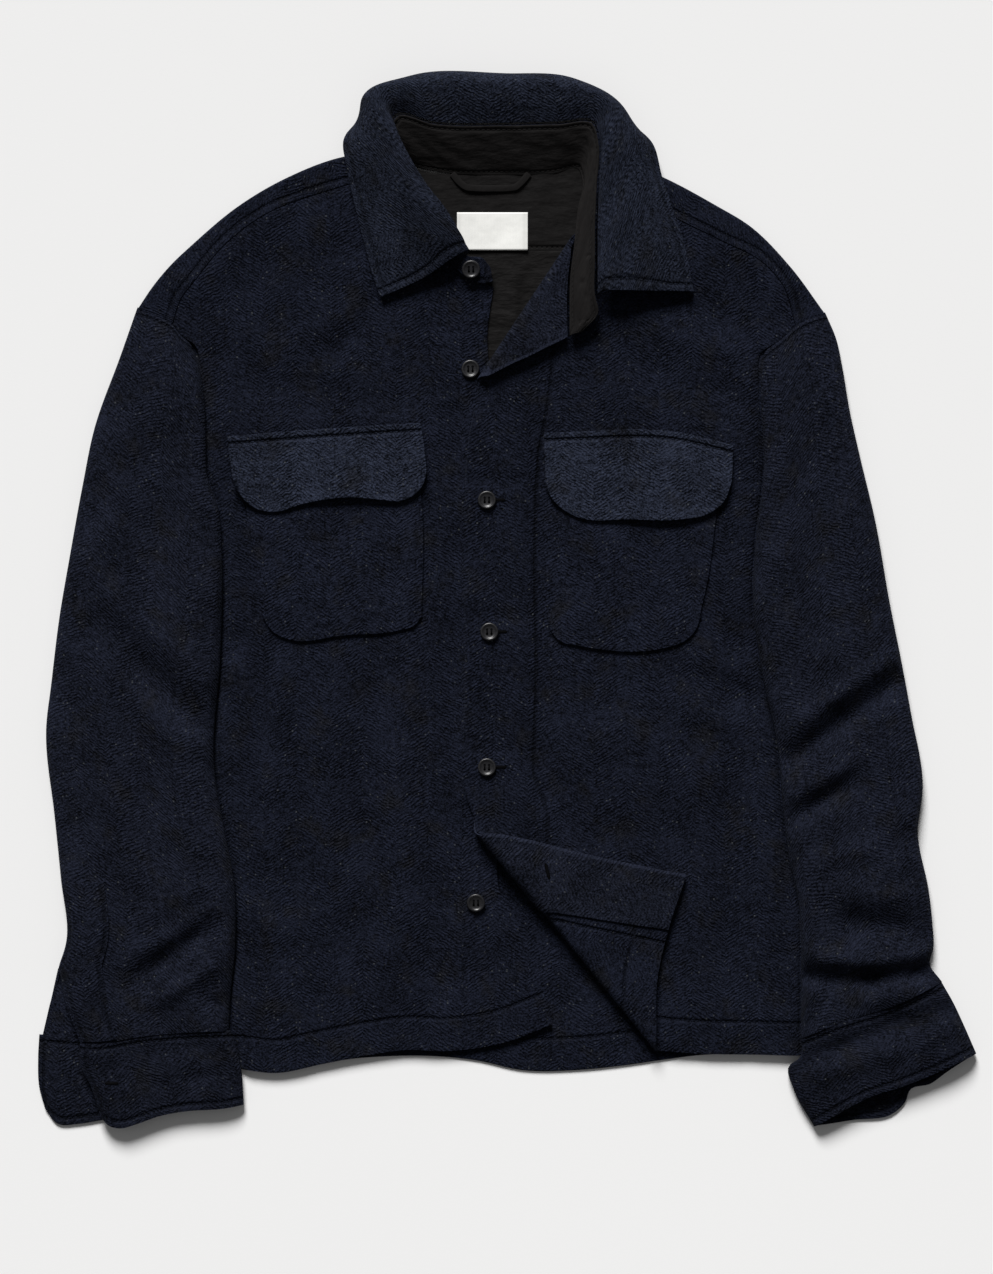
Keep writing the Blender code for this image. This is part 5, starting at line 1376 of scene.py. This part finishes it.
def pocket_panels(bag_finish, flap_finish):
    """Pocket bags and their flaps, drawn from the face they lie on and moved out."""
    for table, finish, steps, height in ((BAGS, bag_finish, BAG_STEPS, bag_height),
                                         (FLAPS, flap_finish, FLAP_STEPS, flap_height)):
        for name, edges in table.items():
            level = over_level if name.endswith("left") else body_level
            lines = {key: fine_line(line) for key, line in edges.items()}
            across, up = np.meshgrid(even(0, 1, steps[0]), even(0, 1, steps[1]))
            plan = patch(lines["low"], lines["top"], lines["left"][::-1], lines["right"][::-1], across, up)
            z = level(plan[..., 0], plan[..., 1]) + height(plan, lines, across, up)
            front = "cloth_front_" + name.split("_")[1]
            cloth(name, grid_mesh(at_level(plan, z), plan), finish, WOOL, lines)


def at_station(line, fraction):
    """Point of a fine line at a share of its sections, whatever their lengths."""
    place = fraction * (len(line) - 1)
    return np.array([np.interp(place, np.arange(len(line)), line[:, axis]) for axis in range(line.shape[1])])


def match_along(first, second, fractions):
    """Points of the second line at the sections where the first has the given shares of its length."""
    run = run_along(first)
    place = np.interp(np.asarray(fractions) * run[-1], run, np.arange(len(first)))
    return np.stack([np.interp(place, np.arange(len(second)), second[:, axis])
                     for axis in range(second.shape[1])], axis=-1)


def collar_panels(finish):
    """The stand, its lining and the leaf, drawn through the sections round the neck."""
    table = np.array(COLLAR, float)
    stand = np.concatenate([np.array(STAND_RIGHT_END, float), table[:, :2], np.array(STAND_LEFT_END, float)])
    stations = np.linspace(0, 1, COLLAR_STATIONS)
    share = np.linspace(0, 1, STAND_ROWS)
    neck = fine_line(stand[:, 0])
    low = along(neck, stations)
    matched = match_along(neck, fine_line(stand[:, 1]), stations)
    rise = matched - low
    high = matched - rise / np.linalg.norm(rise, axis=1)[:, None] * STAND_GAP
    face = np.stack([low * (1 - t) + high * t for t in share])
    pattern = unrolled(face, COLLAR_STATIONS // 2)
    mesh = grid_mesh(face, pattern)
    cloth("collar_stand", mesh, finish["stand"], STAND_WALL, grid_edges(pattern))
    pull = STAND_WRINKLE * wander(pattern[..., 0] + pattern[..., 1] * 1.2, pattern[..., 1] * 0.6, 19, 21)
    pull = np.abs(pull * np.sin(share[:, None] * math.pi))
    mesh = grid_mesh(face, pattern)
    shift_along_normals(mesh, GAP)
    lifts = dict(zip((tuple(np.round(p, 4)) for p in pattern.reshape(-1, 2)), pull.reshape(-1)))
    across, up = mesh.verts.layers.float["flat_x"], mesh.verts.layers.float["flat_y"]
    shift_along_normals(mesh, [lifts.get((round(vert[across], 4), round(vert[up], 4)), 0.0)
                               for vert in mesh.verts])
    cloth("stand_lining", mesh, finish["lining"], LINING, grid_edges(pattern),
          1.0)
    lines = [fine_line(table[:, column]) for column in range(1, 6)]
    steps = np.linspace(0, 1, LEAF_ROWS)
    crossing = [along(fine_line([at_station(line, station) for line in lines]), steps) for station in stations]
    points = np.array(crossing).transpose(1, 0, 2)
    pattern = unrolled(points, COLLAR_STATIONS // 2)
    swell = slack(pattern[..., 0], pattern[..., 1], SEEDS["collar_leaf"]) * ease(steps[:, None] / 0.5)
    points[..., 2] = np.maximum(points[..., 2] + swell, LOWEST_LEAF)
    mesh = grid_mesh(points, pattern)
    cloth("collar_leaf", mesh, finish["leaf"], LEAF_WALL, grid_edges(pattern))


def label_piece(finish):
    """Blank woven label sewn on the yoke lining."""
    width, height = LABEL_SIZE
    columns, rows = LABEL_GRID
    x, y = np.meshgrid(LABEL_CENTRE[0] + np.linspace(-0.5, 0.5, columns) * width,
                       LABEL_CENTRE[1] + np.linspace(-0.5, 0.5, rows) * height)
    wave = 0.35 * wander(x, y, 17, 3) + 0.12 * wander(x, y, 7, 4)
    pattern = np.stack([x, y], axis=-1)
    mesh = grid_mesh(at_level(pattern, LABEL_LEVEL + wave), pattern)
    cloth("label", mesh, finish, LABEL_WALL, grid_edges(pattern))


def loop_piece(finish):
    """Narrow hanging loop at the neck seam."""
    length_steps, width_steps = LOOP_GRID
    shares = np.linspace(0, 1, length_steps)
    centre = along(fine_line(LOOP_PATH), shares)
    run = np.gradient(centre, axis=0)
    run = run / np.linalg.norm(run, axis=1)[:, None]
    across = np.column_stack([-run[:, 1], run[:, 0]]) * LOOP_WIDTH / 2
    z = LOOP_LEVEL + 0.9 * np.sin(shares * math.pi)
    rows = np.stack([np.column_stack([centre + across * side, z + 0.25 * (1 - side * side)])
                     for side in np.linspace(-1, 1, width_steps)])
    pattern = unrolled(rows, 0)
    cloth("hang_loop", grid_mesh(rows, pattern), finish, TAPE, grid_edges(pattern))


def button_place(name):
    """Where a button stands on the cloth below it, as a matrix."""
    x, y, tilt = BUTTONS[name]
    if name == "button_1":
        level = STAND_BUTTON_LEVEL
    else:
        level = float((body_level if name in UNDER_BUTTONS else over_level)(x, y))
    level += GAP + (TILT_ROOM if tilt else 0.0)
    return Matrix.Translation((x, y, level)) @ Matrix.Rotation(math.radians(tilt), 4, "X")


def button_piece(name, finish):
    """Four-hole button with a raised rim and a dished middle."""
    mesh = bmesh.new()
    edge = [mesh.verts.new((out * BUTTON_DIAMETER / 2, 0, up * BUTTON_HEIGHT)) for out, up in BUTTON_PROFILE]
    lines = [mesh.edges.new(pair) for pair in zip(edge[:-1], edge[1:])]
    bmesh.ops.spin(mesh, geom=edge + lines, cent=(0, 0, 0), axis=(0, 0, 1), angle=2 * math.pi, steps=48,
                   use_merge=True)
    bmesh.ops.remove_doubles(mesh, verts=mesh.verts, dist=0.001)
    bmesh.ops.recalc_face_normals(mesh, faces=mesh.faces)
    blank = linked(name + "_blank", mesh)
    mesh = bmesh.new()
    for side_x in (-0.5, 0.5):
        for side_y in (-0.5, 0.5):
            made = bmesh.ops.create_cone(mesh, cap_ends=True, segments=18, radius1=HOLE_DIAMETER / 2,
                                         radius2=HOLE_DIAMETER / 2, depth=4 * BUTTON_HEIGHT)
            bmesh.ops.translate(mesh, verts=made["verts"], vec=(side_x * HOLE_SPACING, side_y * HOLE_SPACING, 0))
    drill = linked(name + "_drill", mesh)
    cut = blank.modifiers.new("Holes", "BOOLEAN")
    cut.operation = "DIFFERENCE"
    cut.solver = "EXACT"
    cut.object = drill
    bpy.context.view_layer.update()
    drilled = bpy.data.meshes.new_from_object(blank.evaluated_get(bpy.context.evaluated_depsgraph_get()))
    for item in (blank, drill):
        bpy.data.objects.remove(item, do_unlink=True)
    mesh = bmesh.new()
    mesh.from_mesh(drilled)
    bpy.data.meshes.remove(drilled)
    mesh.transform(button_place(name))
    piece = finished("round_" + name, mesh, finish, name)
    piece.data.set_sharp_from_angle(angle=math.radians(50))


def rod(mesh, segments, radius, length, place):
    """A thin rod of thread at a place."""
    made = bmesh.ops.create_cone(mesh, cap_ends=True, segments=segments, radius1=radius, radius2=radius,
                                 depth=length)
    bmesh.ops.transform(mesh, matrix=place, verts=made["verts"])


def button_threads(finish):
    """Two parallel strands through the holes of every button."""
    mesh = bmesh.new()
    for name in BUTTONS:
        place = button_place(name)
        for side in (-0.5, 0.5):
            for strand in (-0.28, 0.28):
                lay = Matrix.Translation((side * HOLE_SPACING + strand, 0, BUTTON_HEIGHT * 0.62 + 0.30))
                rod(mesh, 8, 0.34, HOLE_SPACING + 0.9, place @ lay @ Matrix.Rotation(math.pi / 2, 4, "X"))
    finished("button_threads", mesh, finish, None)


def buttonhole_pieces(finish):
    """Worked buttonholes: a ring of close stitches round a dark lens that paints the slit's shade, laid on the
    cloth below.
    """
    mesh = bmesh.new()
    graph = bpy.context.evaluated_depsgraph_get()
    for x, y, turn, length in BUTTONHOLES:
        found = bpy.context.scene.ray_cast(graph, Vector((x, y, 100)) * MM, Vector((0, 0, -1)))
        lie = Vector((0, 0, 1)).rotation_difference(found[2]).to_matrix().to_4x4()
        place = Matrix.Translation(found[1] / MM) @ lie @ Matrix.Rotation(math.radians(turn), 4, "Z")
        made = bmesh.ops.create_uvsphere(mesh, u_segments=20, v_segments=8, radius=1.0)
        # Painted shade: a flat dark lens in the thread's colour stands in for the shadowed opening of the slit
        slit = Matrix.Translation((0, 0, 0.25)) @ Matrix.Diagonal((length / 2, 0.95, 0.35, 1))
        bmesh.ops.transform(mesh, matrix=place @ slit, verts=made["verts"])
        for angle in (2 * math.pi * step / STITCHES for step in range(STITCHES)):
            along_slit, beside = length / 2 * math.cos(angle), 1.05 * math.sin(angle)
            spin = math.atan2(1.05 * math.cos(angle), -(length / 2) * math.sin(angle)) + math.pi / 2
            rod(mesh, 6, 0.26, 1.3, place @ Matrix.Translation((along_slit, beside, 0.12))
                @ Matrix.Rotation(spin, 4, "Z") @ Matrix.Rotation(math.pi / 2, 4, "Y"))
    finished("buttonhole_stitches", mesh, finish, None)


# Camera and studio, in metres
PHOTO_WIDTH = 993
PHOTO_HEIGHT = 1274
METRES_PER_PIXEL = 0.00082
PHOTO_CENTRE = (-0.00861, -0.03034)
CAMERA_LENS = 150.0
CAMERA_SENSOR = 36.0
MIDDLE_LEVEL = 0.008

# The key light: the place it shines from, its power, its softness in degrees and its colour
KEY_LIGHT = {"place": (-0.5, 2.7, 1.9), "power": 5.1, "softness": 24.0, "colour": (1.0, 0.995, 0.99)}
SKY_STRENGTH = 0.15


def look_at(item, target):
    """Turn a light or camera towards a point."""
    item.rotation_euler = (Vector(target) - item.location).to_track_quat("-Z", "Y").to_euler()


def studio_sun(name, place, power, softness, colour):
    """A broad soft light from far off that shines the same way all over."""
    data = bpy.data.lights.new(name, "SUN")
    data.energy = power
    data.angle = math.radians(softness)
    data.color = colour
    lamp = bpy.data.objects.new(name, data)
    lamp.location = place
    look_at(lamp, (0, 0, 0))
    bpy.context.scene.collection.objects.link(lamp)


def make_stage(colours):
    """The pale floor, the key light, an even sky and the camera straight above."""
    mesh = bmesh.new()
    bmesh.ops.create_grid(mesh, x_segments=1, y_segments=1, size=4.0)
    floor = linked("floor", mesh)
    floor.data.materials.append(studio_floor("pale_paper", colours.floor))
    studio_sun("key", **KEY_LIGHT)
    world = bpy.data.worlds.new("studio")
    world.use_nodes = True
    background = world.node_tree.nodes["Background"]
    background.inputs["Color"].default_value = (1.0, 1.0, 1.0, 1.0)
    background.inputs["Strength"].default_value = SKY_STRENGTH
    bpy.context.scene.world = world
    bpy.context.scene.view_settings.view_transform = "Standard"
    data = bpy.data.cameras.new("overhead")
    data.lens = CAMERA_LENS
    data.sensor_width = CAMERA_SENSOR
    data.clip_end = 50.0
    camera = bpy.data.objects.new("overhead", data)
    long_side = max(PHOTO_WIDTH, PHOTO_HEIGHT) * METRES_PER_PIXEL
    camera.location = (*PHOTO_CENTRE, long_side * CAMERA_LENS / CAMERA_SENSOR + MIDDLE_LEVEL)
    bpy.context.scene.collection.objects.link(camera)
    bpy.context.scene.camera = camera


def colour_property(name, description, value):
    """A colour that the sidebar shows."""
    return FloatVectorProperty(name=name, description=description, default=value, subtype="COLOR", size=3,
                               min=0.0, max=1.0)


class JacketColours(bpy.types.PropertyGroup):
    """Base colours of the jacket's finishes."""

    wool: colour_property("Wool", "Outer face of the body's wool", (0.0062, 0.0076, 0.0140))
    sleeve: colour_property("Sleeve wool", "Outer face of the sleeves and cuffs", (0.0070, 0.0084, 0.0150))
    # Painted light: the flaps' and collar's wool is the body wool made about twice as light, for the light their
    # raised faces catch
    raised: colour_property("Raised wool", "Flaps and collar, which catch more light", (0.0135, 0.0165, 0.0275))
    inside: colour_property("Inside of the wool", "Facing and turned corners", (0.0074, 0.0088, 0.0152))
    lining: colour_property("Lining", "Black cotton of the back and the stand", (0.0064, 0.0058, 0.0058))
    label: colour_property("Label", "Blank woven label", (0.82, 0.82, 0.79))
    button: colour_property("Button", "Polished dark resin", (0.0065, 0.0065, 0.008))
    thread: colour_property("Thread", "Sewing thread of buttons and buttonholes", (0.0014, 0.0014, 0.0018))
    floor: colour_property("Floor", "Pale studio paper", (0.80, 0.80, 0.80))


class JacketSizes(bpy.types.PropertyGroup):
    """Sizes of the jacket's details."""

    hem: FloatProperty(name="Hem depth", description="Hem edge to its stitching", default=0.0265, unit="LENGTH")
    placket: FloatProperty(name="Placket width", description="Front edge to the placket's stitching",
                           default=0.0585, unit="LENGTH")
    edge_stitch: FloatProperty(name="Edge stitching", description="Edge to topstitching", default=0.0055,
                               unit="LENGTH")


class JacketStep:
    """Shared by the operators that make the jacket."""

    bl_options = {"REGISTER", "UNDO"}

    def execute(self, context):
        self.make(context.scene.jacket_colours, context.scene.jacket_sizes)
        return {"FINISHED"}


class JACKET_OT_stage(JacketStep, bpy.types.Operator):
    """Make the floor, the light and the camera"""

    bl_idname = "jacket.stage"
    bl_label = "Stage"

    def make(self, colours, sizes):
        make_stage(colours)


class JACKET_OT_back(JacketStep, bpy.types.Operator):
    """Make the back panel and the yoke"""

    bl_idname = "jacket.back"
    bl_label = "Back and Yoke"

    def make(self, colours, sizes):
        back_panel(wool("wool_back", colours.wool, (("low", sizes.hem, 0.5), ("top", 0.006, 0.3))))
        seams = tuple((edge, sizes.edge_stitch, 0.9) for edge in ("low", "top"))
        yoke_panel(wool("wool_yoke", colours.wool, seams))


class JACKET_OT_linings(JacketStep, bpy.types.Operator):
    """Make the black linings of the back"""

    bl_idname = "jacket.linings"
    bl_label = "Back Linings"

    def make(self, colours, sizes):
        # Painted shade: both back linings take the lining colour darkened to 0.78 for the shadow that lies
        # inside the back
        upper = cotton("cotton_yoke_painted_shade", shade(colours.lining, 0.78), (("low", 0.002, 0.4),), 0.8)
        lower = cotton("cotton_back_painted_shade", shade(colours.lining, 0.78), (), 1.3)
        lining_panels({"yoke": upper, "back": lower})


class JACKET_OT_fronts(JacketStep, bpy.types.Operator):
    """Make both fronts and the facing"""

    bl_idname = "jacket.fronts"
    bl_label = "Fronts"

    def make(self, colours, sizes):
        hem = ("low", sizes.hem, 0.6)
        right_front_panel(wool("wool_front_right", colours.wool, (hem,)))
        outer = wool("wool_front_left", colours.wool, (hem, ("left", sizes.placket, 0.6)))
        # The facing gets a painted highlight along its left edge, where the turned fold rolls
        left_front_panels(outer, wool("wool_facing", colours.inside, rim=0.0032))


class JACKET_OT_pockets(JacketStep, bpy.types.Operator):
    """Make the pocket bags and flaps"""

    bl_idname = "jacket.pockets"
    bl_label = "Pockets"

    def make(self, colours, sizes):
        bags = wool("wool_bag", shade(colours.wool, 1.1))
        # The flaps take the lightened wool colour, which paints the light they catch
        flaps = wool("wool_flap_painted_light", colours.raised, (("top", 0.0062, 0.9),))
        pocket_panels(bags, flaps)


class JACKET_OT_collar(JacketStep, bpy.types.Operator):
    """Make the stand, its lining and the collar's leaf"""

    bl_idname = "jacket.collar"
    bl_label = "Collar"

    def make(self, colours, sizes):
        rows = tuple((edge, sizes.edge_stitch, 0.5) for edge in ("top", "left", "right"))
        # The collar leaf takes the lightened wool colour, which paints the light it catches
        leaf = wool("wool_leaf_painted_light", shade(colours.raised, 0.80), rows)
        stand = wool("wool_stand", colours.wool,
                     (("low", 0.003, 0.3), ("right", 0.005, 0.3), ("left", 0.005, 0.3)))
        # Painted light: the stand's lining is the lining colour lightened by 1.35 for the light it catches
        inner = cotton("cotton_stand_painted_light", shade(colours.lining, 1.35), (("low", 0.003, 0.4), ("top", 0.0035, 0.3)))
        collar_panels({"leaf": leaf, "stand": stand, "lining": inner})


class JACKET_OT_sleeves(JacketStep, bpy.types.Operator):
    """Make both sleeves and the strip beside the vent"""

    bl_idname = "jacket.sleeves"
    bl_label = "Sleeves"

    def make(self, colours, sizes):
        sleeves = wool("wool_sleeve", colours.sleeve, (("top", 0.007, 0.3),))
        strip = wool("wool_strip", colours.sleeve, (("left", 0.003, 0.3), ("right", 0.003, 0.3)))
        sleeve_panels(sleeves, strip)


class JACKET_OT_cuffs(JacketStep, bpy.types.Operator):
    """Make both cuffs"""

    bl_idname = "jacket.cuffs"
    bl_label = "Cuffs"

    def make(self, colours, sizes):
        rows = tuple((edge, sizes.edge_stitch, 0.3) for edge in ("low", "top", "left", "right"))
        cuff_panels(wool("wool_cuff", shade(colours.sleeve, 0.85), rows))


class JACKET_OT_label(JacketStep, bpy.types.Operator):
    """Make the blank label and the hanging loop"""

    bl_idname = "jacket.label"
    bl_label = "Label and Loop"

    def make(self, colours, sizes):
        label_piece(label_satin("satin_label", colours.label))
        loop_piece(cotton("cotton_loop", shade(colours.lining, 0.9), (), 0.3))


class JACKET_OT_buttons(JacketStep, bpy.types.Operator):
    """Make the six buttons with their thread, and the buttonholes"""

    bl_idname = "jacket.buttons"
    bl_label = "Buttons"

    def make(self, colours, sizes):
        polished = resin("resin_button", colours.button)
        for name in BUTTONS:
            button_piece(name, polished)
        sewn = thread_finish("sewing_thread", colours.thread)
        button_threads(sewn)
        buttonhole_pieces(sewn)


STEPS = (JACKET_OT_stage, JACKET_OT_back, JACKET_OT_linings, JACKET_OT_fronts, JACKET_OT_pockets,
         JACKET_OT_collar, JACKET_OT_sleeves, JACKET_OT_cuffs, JACKET_OT_label, JACKET_OT_buttons)


class JACKET_PT_sidebar(bpy.types.Panel):
    """Lists the jacket's sizes, colours and steps"""

    bl_label = "Shirt Jacket"
    bl_idname = "JACKET_PT_sidebar"
    bl_space_type = "VIEW_3D"
    bl_region_type = "UI"
    bl_category = "Jacket"

    def draw(self, context):
        column = self.layout.column()
        for group in (context.scene.jacket_colours, context.scene.jacket_sizes):
            for name in group.bl_rna.properties.keys():
                if name not in ("rna_type", "name"):
                    column.prop(group, name)
        for step in STEPS:
            column.operator(step.bl_idname)


CLASSES = (JacketColours, JacketSizes) + STEPS + (JACKET_PT_sidebar,)


def register():
    for item in CLASSES:
        bpy.utils.register_class(item)
    bpy.types.Scene.jacket_colours = PointerProperty(type=JacketColours)
    bpy.types.Scene.jacket_sizes = PointerProperty(type=JacketSizes)


def unregister():
    del bpy.types.Scene.jacket_sizes
    del bpy.types.Scene.jacket_colours
    for item in reversed(CLASSES):
        bpy.utils.unregister_class(item)


def main():
    register()
    for step in STEPS:
        group, name = step.bl_idname.split(".")
        getattr(getattr(bpy.ops, group), name)()


if __name__ == "__main__":
    main()
